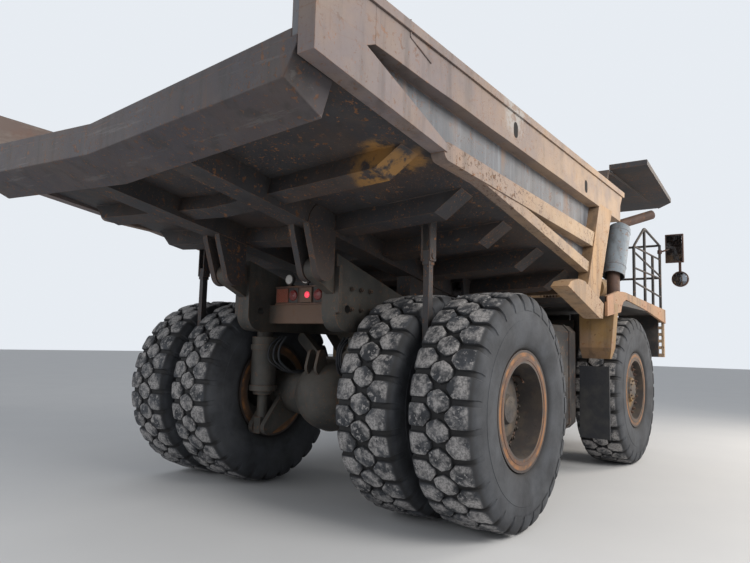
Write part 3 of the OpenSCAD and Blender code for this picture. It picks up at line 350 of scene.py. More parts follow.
def rust_steel(finish):
    return finish.painted((0.095, 0.050, 0.038), 0.004, dust=0.14, chips=0.6, streaks=0.4,
                          faded=(0.150, 0.080, 0.052), fade=0.5)


def cylinder_rod(finish):
    scratches = finish.grain(60.0, 3.0, 0.5, finish.stretched(1.0, 1.0, 0.05))
    finish.start(finish.patches(6.0, 0.5, 0.7) * 0.35, (0.62, 0.62, 0.64), (0.22, 0.19, 0.15))
    return finish.close(0.12 + scratches * 0.2, scratches, 0.0005, 0.3, metal=1.0)


def black_paint(finish):
    return finish.painted((0.030, 0.030, 0.032), 0.001, dust=0.25, streaks=0.2)


def hole_shade(finish):
    """Inside of a slot or a pipe, painted near-black as the shade in the hole."""
    fine = finish.grain(30.0, 4.0)
    finish.start(fine, (0.006, 0.006, 0.006), (0.016, 0.014, 0.013))
    return finish.close(0.95, fine, 0.001)


def mirror_shell(finish):
    return finish.painted((0.060, 0.028, 0.022), 0.001, dust=0.2, chips=0.4, streaks=0.2)


def muffler_steel(finish):
    return finish.painted((0.22, 0.265, 0.31), 0.001, dust=0.12)


def tyre_rubber(finish):
    """Rubber with dust on the walls, pale dried dirt on the tops of the lugs, and painted shade in the
    grooves.
    """
    across, radius = finish.axes(finish.node("ShaderNodeUVMap", {"uv_map": "wheel"}))[:2]
    fine = finish.grain(38.0, 6.0, 0.7)
    shade = finish.grain(4.0, 5.0).step(0.35, 0.7)
    finish.start(shade, (0.026, 0.028, 0.033), (0.052, 0.057, 0.067))
    wall = (across - 0.5).size().step(0.42, 0.475)
    finish.coat(wall * 0.40 * finish.patches(2.4, 0.38, 0.66), (0.090, 0.095, 0.105))
    tread = 1.0 - wall
    top = radius.step(1.0 - 0.030 / TYRE_R, 1.0 - 0.012 / TYRE_R) * tread
    cover = finish.patches(7.0, 0.40, 0.60, 6.0) * (0.45 + 0.55 * finish.patches(55.0, 0.40, 0.58, 4.0))
    cover = cover.highest(finish.patches(26.0, 0.56, 0.62, 7.0) * 0.8)
    finish.coat(top * cover * 0.85, (0.42, 0.405, 0.40))
    # The grooves between the lugs are painted near-black: painted shade
    groove_shade = 1.0 - radius.step(1.0 - 0.044 / TYRE_R, 1.0 - 0.018 / TYRE_R)
    finish.coat(groove_shade * tread * 0.85, (0.016, 0.015, 0.015))
    return finish.close(0.74 + fine * 0.18, fine + cover * top * 0.7, 0.003, 0.5)


def rubber_flap(finish):
    fine = finish.grain(30.0, 6.0)
    finish.start(finish.patches(3.0, 0.4, 0.7) * 0.7, (0.022, 0.024, 0.030), (0.06, 0.058, 0.055))
    return finish.close(0.75 + fine * 0.15, fine, 0.002)


# Radii on a rim: each pair is where one part's look starts to fade and where the next is whole
OIL_R, HUB_R, DISH_R, LOCK_RING_R = (0.16, 0.34), (0.20, 0.30), (0.425, 0.450), (0.516, 0.528)
FLANGE_R = 0.505


def rim_finish(finish, middle_x, hub_share):
    """Ochre flange flaking to rust, and a grey-brown dusty dish round an oily hub."""
    x, _, z = finish.axes()
    radius = ((x - middle_x) ** 2 + (z - AXLE_Z) ** 2) ** 0.5
    rough, height = weathered(finish, (0.19, 0.095, 0.040), dust=0.2, chips=1.0, streaks=0.3,
                              faded=(0.085, 0.052, 0.040), fade=0.9)
    dish = 1.0 - (radius + (finish.grain(7.0, 6.0) - 0.5) * 0.06).step(*DISH_R)
    dirt = finish.mix(finish.patches(5.0, 0.42, 0.62), (0.050, 0.046, 0.046), (0.088, 0.074, 0.062))
    finish.coat(dish * 0.92, dirt)
    hub = (1.0 - radius.step(*HUB_R)) * finish.patches(4.0, 0.42, 0.60)
    finish.coat(hub * hub_share, (0.30, 0.175, 0.060))
    rust = (1.0 - (radius - FLANGE_R).size().step(0.008, 0.030)) * finish.patches(9.0, 0.40, 0.60)
    finish.coat(rust * 0.8, (0.30, 0.13, 0.045))
    finish.coat(radius.step(*LOCK_RING_R) * 0.9, (0.040, 0.033, 0.032))
    oil = (1.0 - radius.step(*OIL_R)) * finish.patches(6.0, 0.45, 0.62)
    finish.coat(oil * 0.7, GRIME_AND_SHADE)
    return finish.close(rough, height, 0.003)


def rear_rim_paint(finish):
    return rim_finish(finish, REAR_X, 0.15)


def front_rim_paint(finish):
    return rim_finish(finish, FRONT_X, 0.9)


def window_glass(finish):
    film = finish.patches(3.5, 0.45, 0.75) * 0.35
    finish.start(film, (0.55, 0.63, 0.64), (0.5, 0.47, 0.42))
    return finish.close(0.04 + film * 0.5, Transmission_Weight=0.85, IOR=1.45, Alpha=0.55)


def mirror_glass(finish):
    film = finish.patches(9.0, 0.45, 0.75)
    finish.start(film * 0.4, (0.30, 0.32, 0.35), (0.20, 0.18, 0.16))
    return finish.close(0.05 + film * 0.3, metal=1.0)


def cab_plastic(finish):
    fine = finish.grain(240.0, 3.0)
    finish.start(finish.patches(5.0, 0.45, 0.7) * 0.4, (0.050, 0.050, 0.054), (0.11, 0.10, 0.09))
    return finish.close(0.6 + fine * 0.15, fine, 0.0006)


def seat_cloth(finish):
    weave = finish.node("ShaderNodeTexWave", {"wave_type": "BANDS", "bands_direction": "DIAGONAL"},
                        Vector=finish.place, Scale=160.0, Distortion=1.5, Detail=2.0, out="Fac")
    finish.start(weave, (0.045, 0.046, 0.055), (0.085, 0.085, 0.095))
    finish.coat(finish.patches(7.0, 0.48, 0.7) * 0.4, (0.13, 0.115, 0.10))
    return finish.close(0.9, weave, 0.0012, Sheen_Weight=0.3)


def lens(finish, colour, dull, glow=0.0):
    """Ribbed lamp lens under a film of dirt."""
    ribs = finish.node("ShaderNodeTexWave", {"bands_direction": "Y"}, Vector=finish.place, Scale=55.0,
                       out="Fac")
    finish.start(finish.patches(12.0, 0.45, 0.7) * 0.5, colour, dull)
    lit = {"Emission_Color": finish.colour, "Emission_Strength": glow} if glow else {}
    return finish.close(0.25 + ribs * 0.1, ribs, 0.002, Coat_Weight=0.3, **lit)


def lens_red(finish):
    return lens(finish, (0.20, 0.020, 0.018), (0.10, 0.055, 0.045))


def lens_orange(finish):
    return lens(finish, (0.24, 0.055, 0.026), (0.11, 0.06, 0.045))


def lens_lit(finish):
    return lens(finish, (0.80, 0.05, 0.09), (0.5, 0.05, 0.06), 1.1)


def lens_clear(finish):
    return lens(finish, (0.72, 0.70, 0.68), (0.42, 0.38, 0.34))


FINISHES = [
    (fender_paint, ("bumper", "deck_right", "deck_left", "hood", "hydraulic_tank", "air_cleaners")),
    (cab_paint, ("cab_shell", "cab_door")),
    (rear_rim_paint, ("rear_rims_right", "rear_rims_left")),
    (front_rim_paint, ("front_rim_right", "front_rim_left")),
    (rail_paint, ("bed_side_right", "bed_side_left", "bed_front")),
    (worn_plate, ("bed_floor", "bed_beams", "rock_ejectors", "canopy")),
    (oily_steel, ("frame", "powertrain", "rear_axle", "rear_struts", "front_struts", "knuckle_right",
                  "knuckle_left", "tie_rod", "hoist_barrel_right", "hoist_barrel_left")),
    (cylinder_rod, ("hoist_stage_right", "hoist_stage_left", "hoist_rod_right", "hoist_rod_left")),
    (black_paint, ("fuel_tank", "grille", "handrails", "ladder")),
    (mirror_shell, ("mirrors",)),
    (muffler_steel, ("exhaust",)),
    (rubber_flap, ("mudflaps",)),
    (window_glass, ("cab_glass", "door_glass")),
    (cab_plastic, ("dashboard",)),
    (seat_cloth, ("seat",)),
    (lens_red, ("lamps",)),
]


def finish_of(maker):
    """The material that a maker makes, made once."""
    name = maker.__name__
    return bpy.data.materials.get(name) or maker(Finish(name))


def dress(obj, maker):
    """Gives an object its finish."""
    obj.data.materials.clear()
    obj.data.materials.append(finish_of(maker))


# Mesh tools

# A nut of size 1: washer, six sides and end of the stud, each as [radius, height] and number of sides
NUT = ((((0.68, 0), (0.68, 0.10)), 14), (((0.56, 0.10), (0.56, 0.62), (0.48, 0.70)), 6),
       (((0.28, 0.70), (0.28, 1), (0.20, 1.06)), 10))


def spot(x, y, z):
    """A place in metres, its X counted from the rear axle and its Z from the wheels' middle."""
    return Vector((REAR_X + x, y, AXLE_Z + z))


def arc(x, z, radius, first, last):
    """Points on an arc in X and Z, between two angles in degrees."""
    turns = [math.radians(a) for a in range(first, last + 1, 15)]
    return [(x + radius * math.cos(a), z + radius * math.sin(a)) for a in turns]


def square_to(axis):
    """Two directions square to an axis and to each other."""
    across = axis.orthogonal().normalized()
    return across, axis.cross(across)


def circle(middle, across, other, radius, sides):
    """Points round a middle, in the plane of two directions."""
    turns = [2 * math.pi * k / sides for k in range(sides)]
    return [middle + radius * (math.cos(a) * across + math.sin(a) * other) for a in turns]


class Shape:
    """A mesh under construction. What is added takes the finish that was named last."""

    def __init__(self, maker):
        self.mesh = bmesh.new()
        self.makers = []
        self.use(maker)

    def use(self, maker):
        if maker not in self.makers:
            self.makers.append(maker)
        self.slot = self.makers.index(maker)

    def face(self, corners):
        self.mesh.faces.new(corners).material_index = self.slot

    def loft(self, rings, caps=True):
        """Faces between closed rings of points; caps close the first and the last ring."""
        rows = [[self.mesh.verts.new(point) for point in ring] for ring in rings]
        for first, second in zip(rows, rows[1:]):
            for i in range(len(first)):
                j = (i + 1) % len(first)
                self.face((first[i], first[j], second[j], second[i]))
        if caps:
            self.face(rows[0])
            self.face(rows[-1])

    def side_plate(self, outline, y0, y1, side=1):
        """An outline in X and Z, thick from y0 to y1."""
        self.loft([[spot(x, side * y, z) for x, z in outline] for y in (y0, y1)])

    def level_plate(self, outline, z0, z1, side=1):
        """An outline in X and Y, thick from z0 to z1."""
        self.loft([[spot(x, side * y, z) for x, y in outline] for z in (z0, z1)])

    def block(self, low, high, side=1):
        """A box between two corners."""
        (x0, y0, z0), (x1, y1, z1) = low, high
        self.level_plate([(x0, y0), (x1, y0), (x1, y1), (x0, y1)], z0, z1, side)

    def turned(self, profile, base, aim, sides=24, caps=True):
        """A turned form on the line from base to aim: [(radius, distance along the line)]."""
        base, axis = Vector(base), (Vector(aim) - Vector(base)).normalized()
        directions = square_to(axis)
        self.loft([circle(base + axis * along, *directions, radius, sides) for radius, along in profile],
                  caps)

    def rod(self, base, aim, radius, sides=20, chamfer=0.004):
        """A round bar with bevelled ends."""
        length = (Vector(aim) - Vector(base)).length
        self.turned([(radius - chamfer, 0), (radius, chamfer), (radius, length - chamfer),
                     (radius - chamfer, length)], base, aim, sides)

    def nut(self, base, outward, size):
        """A washer, a six-sided nut and the end of its stud."""
        for profile, sides in NUT:
            profile = [(size * radius, size * height) for radius, height in profile]
            self.turned(profile, base, base + outward, sides)

    def pipe(self, points, radius, bend=0.07, sides=12):
        """A round tube along a route, its corners bent on a radius."""
        route = [Vector(points[0])]
        for before, corner, after in zip(points, points[1:], points[2:]):
            corner = Vector(corner)
            back, on = (Vector(before) - corner), (Vector(after) - corner)
            reach = min(bend, back.length / 2.2, on.length / 2.2)
            start, end = corner + back.normalized() * reach, corner + on.normalized() * reach
            for t in (0.0, 0.25, 0.5, 0.75, 1.0):
                route.append(start.lerp(corner, t).lerp(corner.lerp(end, t), t))
        route.append(Vector(points[-1]))
        across = (route[1] - route[0]).orthogonal().normalized()
        rings = []
        for i, point in enumerate(route):
            ahead = (route[min(i + 1, len(route) - 1)] - route[max(i - 1, 0)]).normalized()
            across = (across - ahead * across.dot(ahead)).normalized()
            rings.append(circle(point, across, ahead.cross(across), radius, sides))
        self.loft(rings)

    def bead(self, start, end, radius=0.009, step=0.011):
        """A weld bead with its ripples."""
        start, end = Vector(start), Vector(end)
        directions = square_to((end - start).normalized())
        count = max(2, int((end - start).length / step))
        rings = []
        for i in range(count + 1):
            middle = start.lerp(end, i / count)
            wide = radius * (0.82 + 0.18 * (i % 2) + 0.35 * noise.noise(middle * 9.0))
            rings.append(circle(middle, *directions, wide, 6))
        self.loft(rings)

    def place(self, name, slot, body, *replaced, sharp=30.0, bevel=0.0):
        """Makes the piece, and rides it on its body. Its slot is not used."""
        data = bpy.data.meshes.new(name)
        for maker in self.makers:
            data.materials.append(finish_of(maker))
        bmesh.ops.recalc_face_normals(self.mesh, faces=self.mesh.faces)
        self.mesh.to_mesh(data)
        self.mesh.free()
        data.polygons.foreach_set("use_smooth", [True] * len(data.polygons))
        data.set_sharp_from_angle(angle=math.radians(sharp))
        obj = bpy.data.objects.new(name, data)
        bpy.context.collection.objects.link(obj)
        if bevel:
            edges = obj.modifiers.new("edges", "BEVEL")
            edges.width, edges.segments = bevel, 2
            edges.limit_method, edges.angle_limit = "ANGLE", math.radians(35)
            edges.harden_normals = True
        if body:
            if replaced:
                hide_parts(*replaced)
            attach(obj, body)
        return obj


# Tyres

# Half of the carcass section below the lugs, as shares of the tyre's radius and width: [radius, half width]
CARCASS = ((0.418, 0.385), (0.455, 0.392), (0.506, 0.384), (0.514, 0.408), (0.535, 0.446), (0.575, 0.464),
           (0.640, 0.482), (0.700, 0.494), (0.740, 0.498), (0.765, 0.4985), (0.768, 0.493), (0.830, 0.488),
           (0.880, 0.474), (0.915, 0.455), (0.938, 0.425), (0.951, 0.385), (0.957, 0.330), (0.960, 0.240),
           (0.961, 0.120))
# Rows of lugs, as stations across the tread: [half width off the middle, half length in pitches, skew]
MIDDLE_LUG = ((-0.150, 0.16, 0.05), (-0.10, 0.28, 0.03), (0.0, 0.40, 0.0), (0.10, 0.28, -0.03),
              (0.150, 0.16, -0.05))
SIDE_LUG = ((0.112, 0.08, 0.0), (0.160, 0.24, 0.0), (0.205, 0.375, 0.0), (0.300, 0.385, 0.0),
            (0.385, 0.38, 0.0), (0.440, 0.375, 0.0), (0.468, 0.365, 0.0), (0.485, 0.35, 0.0))
CROWN_DROP = 0.012
SHOULDER = 0.385
# How much a lug's edge is worn down, and the least height of its walls, in metres
EDGE_WORN, LEAST_WALL = 0.008, 0.012
# Degrees that each tyre is turned on from the one before, and to either side
TYRE_TURN, SIDE_TURN = 4.3, 2.0
# How far a lug's walls flare: out to the sides as a share of the width, and round in pitches
FLARE_OUT, FLARE_ROUND = 0.010, 0.035


def lug_crown(across):
    """Radius of the lugs' tops, as a share of the tyre's, at a half width as a share of the tyre's."""
    across = abs(across)
    if across <= SHOULDER:
        return 1.0 - CROWN_DROP * (across / SHOULDER) ** 2
    return 1.0 - CROWN_DROP - 0.085 * ((across - SHOULDER) / 0.10) ** 2.2


def wheel_spot(radius, across, turn):
    return (radius * math.sin(turn), TYRE_W * across, -radius * math.cos(turn))


def lug(shape, stations, angle, pitch, side, depth, seed):
    """One lug: a crowned top over the stations, and walls that flare down into the carcass."""
    steps, wide_steps = 3, 6
    spans = []
    for first, second in zip(stations, stations[1:]):
        spans += [[a + (b - a) * k / steps for a, b in zip(first, second)] for k in range(steps)]
    spans.append(stations[-1])
    last = len(spans) - 1
    middle = spans[last // 2][0]
    top, rim, foot = [], {}, {}
    for i, (across, half, skew) in enumerate(spans):
        row = []
        for j in range(wide_steps + 1):
            u = -1 + 2 * j / wide_steps
            on_edge = i in (0, last) or j in (0, wide_steps)
            turn = angle + (u * half + skew) * pitch
            worn = 0.004 * (noise.noise(Vector((turn * 9.0, across * 25.0, seed))) + 0.4)
            radius = TYRE_R * lug_crown(across) - worn - (EDGE_WORN if on_edge else 0.0)
            vertex = shape.mesh.verts.new(wheel_spot(radius, side * across, turn))
            row.append(vertex)
            if on_edge:
                rim[i, j] = vertex
                out = across + (FLARE_OUT if i == last else -FLARE_OUT if i == 0 else 0.0)
                wide = u * (half + (FLARE_ROUND if j in (0, wide_steps) else 0.0)) + skew
                base = min(radius - LEAST_WALL, TYRE_R * (lug_crown(out) - depth))
                foot[i, j] = shape.mesh.verts.new(wheel_spot(base, side * out, angle + wide * pitch))
        top.append(row)
    for first, second in zip(top, top[1:]):
        for i in range(wide_steps):
            shape.face((first[i], first[i + 1], second[i + 1], second[i]))
    ring = [(0, j) for j in range(wide_steps)] + [(i, wide_steps) for i in range(last)]
    ring += [(last, j) for j in range(wide_steps, 0, -1)] + [(i, 0) for i in range(last, 0, -1)]
    for here, there in zip(ring, ring[1:] + ring[:1]):
        shape.face((rim[here], rim[there], foot[there], foot[here]))


def tyre_shape(pitches, depth):
    """Carcass turned round the wheel's axis, with its rows of lugs."""
    shape = Shape(tyre_rubber)
    section = [(r, -w) for r, w in CARCASS] + [(r, w) for r, w in reversed(CARCASS)]
    turns = pitches * 6
    shape.loft([[wheel_spot(TYRE_R * radius, across, 2 * math.pi * k / turns) for k in range(turns)]
                for radius, across in section + section[:1]], caps=False)
    bmesh.ops.remove_doubles(shape.mesh, verts=shape.mesh.verts, dist=0.0001)
    pitch = 2 * math.pi / pitches
    for k in range(pitches):
        lug(shape, MIDDLE_LUG, k * pitch, pitch, 1, depth, k * 3.1)
        for side in (-1, 1):
            lug(shape, SIDE_LUG, (k + 0.5) * pitch, pitch, side, depth, k * 1.7 + side)
    return shape


def map_wheel(data):
    """Keeps each corner's place across the tyre and its share of the radius, for the finish."""
    layer = data.uv_layers.new(name="wheel")
    for loop in data.loops:
        x, y, z = data.vertices[loop.vertex_index].co
        layer.data[loop.index].uv = (y / TYRE_W + 0.5, math.hypot(x, z) / TYRE_R)


def fit_tyres(settings):
    """A tyre on every rim, each turned a little further than the one before."""
    shape = tyre_shape(settings.pitches, settings.depth / TYRE_R)
    model = shape.place("tyre_model", None, None, sharp=40.0)
    map_wheel(model.data)
    for side, sign in SIDES.items():
        places = [("front_tyre_" + side, FRONT_X, FRONT_Y, "front_wheel_" + side),
                  ("rear_inner_tyre_" + side, REAR_X, INNER_Y, "rear_wheels_" + side),
                  ("rear_outer_tyre_" + side, REAR_X, OUTER_Y, "rear_wheels_" + side)]
        for index, (name, x, y, body) in enumerate(places):
            data = model.data.copy()
            turn = Matrix.Rotation(math.radians(TYRE_TURN * index + SIDE_TURN * sign), 4, "Y")
            data.transform(Matrix.Translation((x, sign * y, AXLE_Z)) @ turn)
            tyre = bpy.data.objects.new("dressed_" + name, data)
            bpy.context.collection.objects.link(tyre)
            if index == 0:
                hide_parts(name)
            if index == 2:
                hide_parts("rear_tyres_" + side)
            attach(tyre, body)
    bpy.data.objects.remove(model)


# Wheel fittings

REAR_DISH_Y = OUTER_Y + 0.010
FRONT_DISH_Y = FRONT_Y + 0.170
REAR_COVER_Y = OUTER_Y + 0.040
FRONT_COVER_Y = FRONT_DISH_Y + 0.068
AXLE_FLANGE_Y = INNER_Y + 0.061
# Radii of the rings of nuts and bolts, and how far out of its tyre's middle a lock ring sits
REAR_NUT_R, FRONT_NUT_R, COVER_BOLT_R, FRONT_COVER_BOLT_R = 0.408, 0.36, 0.295, 0.135
LOCK_RING_OUT = 0.272


def ring_places(middle_x, radius, count, y, sign, start=0.0):
    """Places evenly round a wheel's axis."""
    for k in range(count):
        a = 2 * math.pi * (k + start) / count
        yield Vector((middle_x + radius * math.cos(a), sign * y, AXLE_Z + radius * math.sin(a)))


def wheel_fittings(settings):
    """Nuts, lock ring and cover bolts of each wheel, and the wedges and valve of each rear wheel."""
    for side, sign in SIDES.items():
        out = Vector((0, sign, 0))
        rear = Shape(oily_steel)
        for at in ring_places(REAR_X, REAR_NUT_R, settings.rear_nuts, REAR_DISH_Y, sign):
            rear.nut(at, out, 0.046)
        for at in ring_places(REAR_X, COVER_BOLT_R, 16, REAR_COVER_Y, sign, 0.5):
            rear.nut(at, out, 0.026)
        rear.use(rust_steel)
        for at in ring_places(REAR_X, REAR_NUT_R + 0.020, settings.rear_nuts, REAR_DISH_Y, sign, 0.5):
            rear.turned([(0.020, 0), (0.020, 0.020), (0.014, 0.026)], at, at + out, 8)
        lock_ring(rear, Vector((REAR_X, sign * (OUTER_Y + LOCK_RING_OUT), AXLE_Z)), out)
        valve(rear, Vector((REAR_X, sign * OUTER_Y, AXLE_Z)), out)
        rear.place("rear_wheel_fittings_" + side, "painted", "rear_wheels_" + side)
        front = Shape(rust_steel)
        for at in ring_places(FRONT_X, FRONT_NUT_R, settings.front_nuts, FRONT_DISH_Y, sign):
            front.nut(at, out, 0.044)
        front.use(oily_steel)
        for at in ring_places(FRONT_X, FRONT_COVER_BOLT_R, 10, FRONT_COVER_Y, sign):
            front.nut(at, out, 0.024)
        lock_ring(front, Vector((FRONT_X, sign * (FRONT_Y + LOCK_RING_OUT), AXLE_Z)), out)
        front.place("front_wheel_fittings_" + side, "painted", "front_wheel_" + side)


def lock_ring(shape, middle, out):
    """Split ring that holds the rim's flange."""
    profile = [(0.452, -0.012), (0.478, -0.012), (0.484, 0.002), (0.476, 0.012), (0.456, 0.012)]
    shape.turned(profile + profile[:1], middle, middle + out, 96, caps=False)


def valve(shape, middle, out):
    """Valve stem bent out over the dish."""
    foot = middle + Vector((0.30, 0, 0.29))
    shape.pipe([foot, foot + out * 0.10, foot + out * 0.16 + Vector((-0.05, 0, -0.05))], 0.009, 0.03, 10)


# Dump body. Pairs are X and Z

TAIL = -3.0
KINK = (-1.48, 1.985)
FRONT_EDGE = (1.98, 1.385)
TOP_FRONT = (2.80, 2.645)
WALL_FOOT = (2.01, 1.225)
RAIL_NOSE = (3.05, 2.639)
RAIL_TOP = 2.765
FLOOR_SLOPE = (KINK[1] - FRONT_EDGE[1]) / (FRONT_EDGE[0] - KINK[0])
FLOOR_T = 0.05
FLOOR_VEE = 0.154
FLOOR_HALF = 2.189
BODY_Y = 2.14
BODY_OUT = 2.20
RAIL_OUT = BODY_OUT + 0.12
# How far work has dented the floor and the rails' upper edges, and bowed the rails' faces
FLOOR_DENT, RAIL_DENT, RAIL_BOW = 0.006, 0.010, 0.006
# Middles of marks on the paint: what is left of the old paint on a bolster, and a scrape on the rail
PAINT_LEFT = (REAR_X - 1.62, -1.86, AXLE_Z + 1.90)
SCRAPED = (REAR_X - 0.35, -RAIL_OUT, AXLE_Z + 2.68)
# Middle of the frame's cross beam behind the axle
CROSS_BEAM = (REAR_X - 0.55, 0.0, AXLE_Z + 0.84)


def edge_z(x):
    """Height of the floor's lower edge at the body sides."""
    return KINK[1] - (x - KINK[0]) * FLOOR_SLOPE


def floor_z(x, y):
    """Height of the floor's underside."""
    return edge_z(x) - FLOOR_VEE * (1 - abs(y) / BODY_OUT)


def wall_x(z):
    """Inner face of the front wall."""
    share = (z - WALL_FOOT[1]) / (TOP_FRONT[1] - WALL_FOOT[1])
    return WALL_FOOT[0] + share * (TOP_FRONT[0] - WALL_FOOT[0])


def across_body(x, outline):
    """An outline in Y and Z at x, its Z counted from the floor's lower edge."""
    return [spot(x, y, edge_z(x) + z) for y, z in outline]


def dump_floor():
    """Floor plate with the dents of its work, and the tail bolster with its lip."""
    shape = Shape(worn_plate)
    places_y = [FLOOR_HALF * k / 8 for k in range(-8, 9)]
    stations = 40
    rings = []
    for i in range(stations + 1):
        x = TAIL + 0.02 + (FRONT_EDGE[0] + 0.12 - TAIL) * i / stations
        under = [(y, floor_z(x, y)) for y in places_y]
        over = [(y, floor_z(x, y) + FLOOR_T + FLOOR_DENT * noise.noise(Vector((x * 1.7, y * 1.7, 3.0))))
                for y in reversed(places_y)]
        rings.append([spot(min(x, wall_x(z) - 0.001), y, z) for y, z in under + over])
    shape.loft(rings)
    # The floor's upper faces take the lining
    shape.use(bed_lining)
    for face in shape.mesh.faces:
        middle = face.calc_center_median()
        if middle.z - AXLE_Z > floor_z(middle.x - REAR_X, middle.y) + FLOOR_T * 0.6:
            face.material_index = shape.slot

    # Tail bolster: its rear face, then its lower front edge: [X, depth at the ends, depth in the middle]
    shape.use(tail_plate)
    half, foot, top = FLOOR_HALF, FLOOR_HALF - 0.10, FLOOR_T - 0.002
    shape.loft([across_body(x, ((-half, top), (-half, 0.0), (-foot, ends), (0, middle), (foot, ends),
                                (half, 0.0), (half, top), (0, top - FLOOR_VEE)))
                for x, ends, middle in ((TAIL, -0.185, -0.300), (TAIL + 0.34, -0.270, -0.400))])
    # Lip along the tail: [X, height of its upper edge]
    shape.loft([across_body(x, ((-BODY_Y, 0.0), (0, -FLOOR_VEE), (BODY_Y, 0.0), (BODY_Y, high),
                                (0, high - FLOOR_VEE), (-BODY_Y, high)))
                for x, high in ((TAIL + 0.003, FLOOR_T + 0.052), (TAIL + 0.16, FLOOR_T + 0.045))])
    shape.place("dump_floor", "worn_steel", "bed", "bed_floor", bevel=0.008)


RECESS_TIP = (-2.526, 2.385)
RIB_END = (-1.49, 1.99)
RIB_R = 0.072
RIB_FRONT = (1.745, 1.925)
LOWER_RAIL_H = 0.13
# Top rail: its lower edge from behind to the front, and how far its nose leans ahead
RAIL_LOW = ((-2.44, 2.425), (2.90, 2.23))
RAIL_LEAN = 0.15
RAIL_SLOTS = ((-0.34, 2.495), (1.56, 2.400))
SLOT_R, SLOT_HALF = 0.042, 0.030


def top_rail(shape, sign, inner, outer, stations=60):
    """Top rail, its upper edge dented and its face bowed."""
    (rear, rear_low), (ahead, ahead_low) = RAIL_LOW
    rings = []
    for i in range(stations + 1):
        share = i / stations
        x = rear + (ahead - rear) * share
        lean = RAIL_LEAN * share
        low = rear_low + (ahead_low - rear_low) * share
        along = (x + lean - TAIL) / (RAIL_NOSE[0] - TAIL)
        dent = RAIL_DENT * noise.noise(Vector((x * 2.3, 4.0, 1.0)))
        high = RAIL_TOP + (RAIL_NOSE[1] - RAIL_TOP) * along + dent
        face = outer + RAIL_BOW * noise.noise(Vector((x * 1.9, 9.0, sign)))
        rings.append([spot(x + (lean if z == high else 0), sign * y, z) for y, z in (
            (inner, low), (face, low), (face, (low + high) / 2), (outer, high), (inner, high))])
    shape.loft(rings)


def dump_side(side, sign):
    """One side of the dump body: plate, rails, ribs, post and sill."""
    shape = Shape(recess_paint)
    inner, outer = BODY_OUT - 0.01, RAIL_OUT
    tail_z, top = edge_z(TAIL), TOP_FRONT
    shape.side_plate([(TAIL + 0.005, tail_z + FLOOR_T - 0.004), (2.17, edge_z(2.17) + FLOOR_T - 0.004),
                      (top[0] + 0.06, top[1] - 0.02), (TAIL + 0.005, RAIL_TOP - 0.002)],
                     BODY_Y, BODY_OUT, sign)
    shape.use(bed_lining)
    shape.side_plate([(TAIL + 0.007, tail_z + FLOOR_T), (2.16, edge_z(2.16) + FLOOR_T),
                      (top[0] + 0.05, top[1] - 0.03), (TAIL + 0.007, RAIL_TOP - 0.010)],
                     BODY_Y - 0.006, BODY_Y + 0.001, sign)
    # Top rail, its end plate at the tail and the strip along its upper edge
    shape.use(rail_paint)
    top_rail(shape, sign, inner, outer)
    rail_rear = RAIL_LOW[0]
    shape.side_plate([(TAIL + 0.002, tail_z + 0.06), RECESS_TIP, rail_rear,
                      (rail_rear[0], RAIL_TOP - 0.011), (TAIL + 0.002, RAIL_TOP)], inner, outer, sign)
    shape.side_plate([(TAIL, RAIL_TOP - 0.07), (RAIL_NOSE[0] - 0.01, RAIL_NOSE[1] - 0.07), RAIL_NOSE,
                      (TAIL, RAIL_TOP)], outer - 0.001, outer + 0.018, sign)
    # Tail end panel, hanging a little below the floor
    panel_top = RECESS_TIP[1] + 0.06
    shape.side_plate([(TAIL, tail_z - 0.075), (KINK[0] - 0.05, KINK[1] - 0.012),
                      (KINK[0] - 0.06, KINK[1] + 0.05), RECESS_TIP, (RECESS_TIP[0], panel_top),
                      (TAIL, panel_top)], inner, outer + 0.001, sign)
    # Middle rib with its round end, and the lower rail
    shape.use(rib_paint)
    rib = arc(*RIB_END, RIB_R, 90, 270) + [(FRONT_EDGE[0], z) for z in RIB_FRONT]
    shape.side_plate(rib, inner, outer - 0.01, sign)
    shape.side_plate([(-1.50, edge_z(-1.50)), (1.70, edge_z(1.70)), (1.70, edge_z(1.70) + LOWER_RAIL_H),
                      (-1.35, 2.055)], inner, outer - 0.02, sign)
    # Front post and sill
    shape.use(sill_paint)
    shape.side_plate([(1.52, 1.10), (1.96, 1.10), (2.54, 2.30), (2.04, 2.30)], inner, outer + 0.001, sign)
    shape.side_plate([(0.80, 1.20), (0.89, 1.26), (1.13, 1.305), (1.32, 1.30), (1.97, 1.10), (1.93, 0.925),
                      (1.82, 0.925)], inner, outer + 0.06, sign)
    shape.place("dump_side_" + side, "body_paint", "bed", "bed_side_" + side, bevel=0.007)


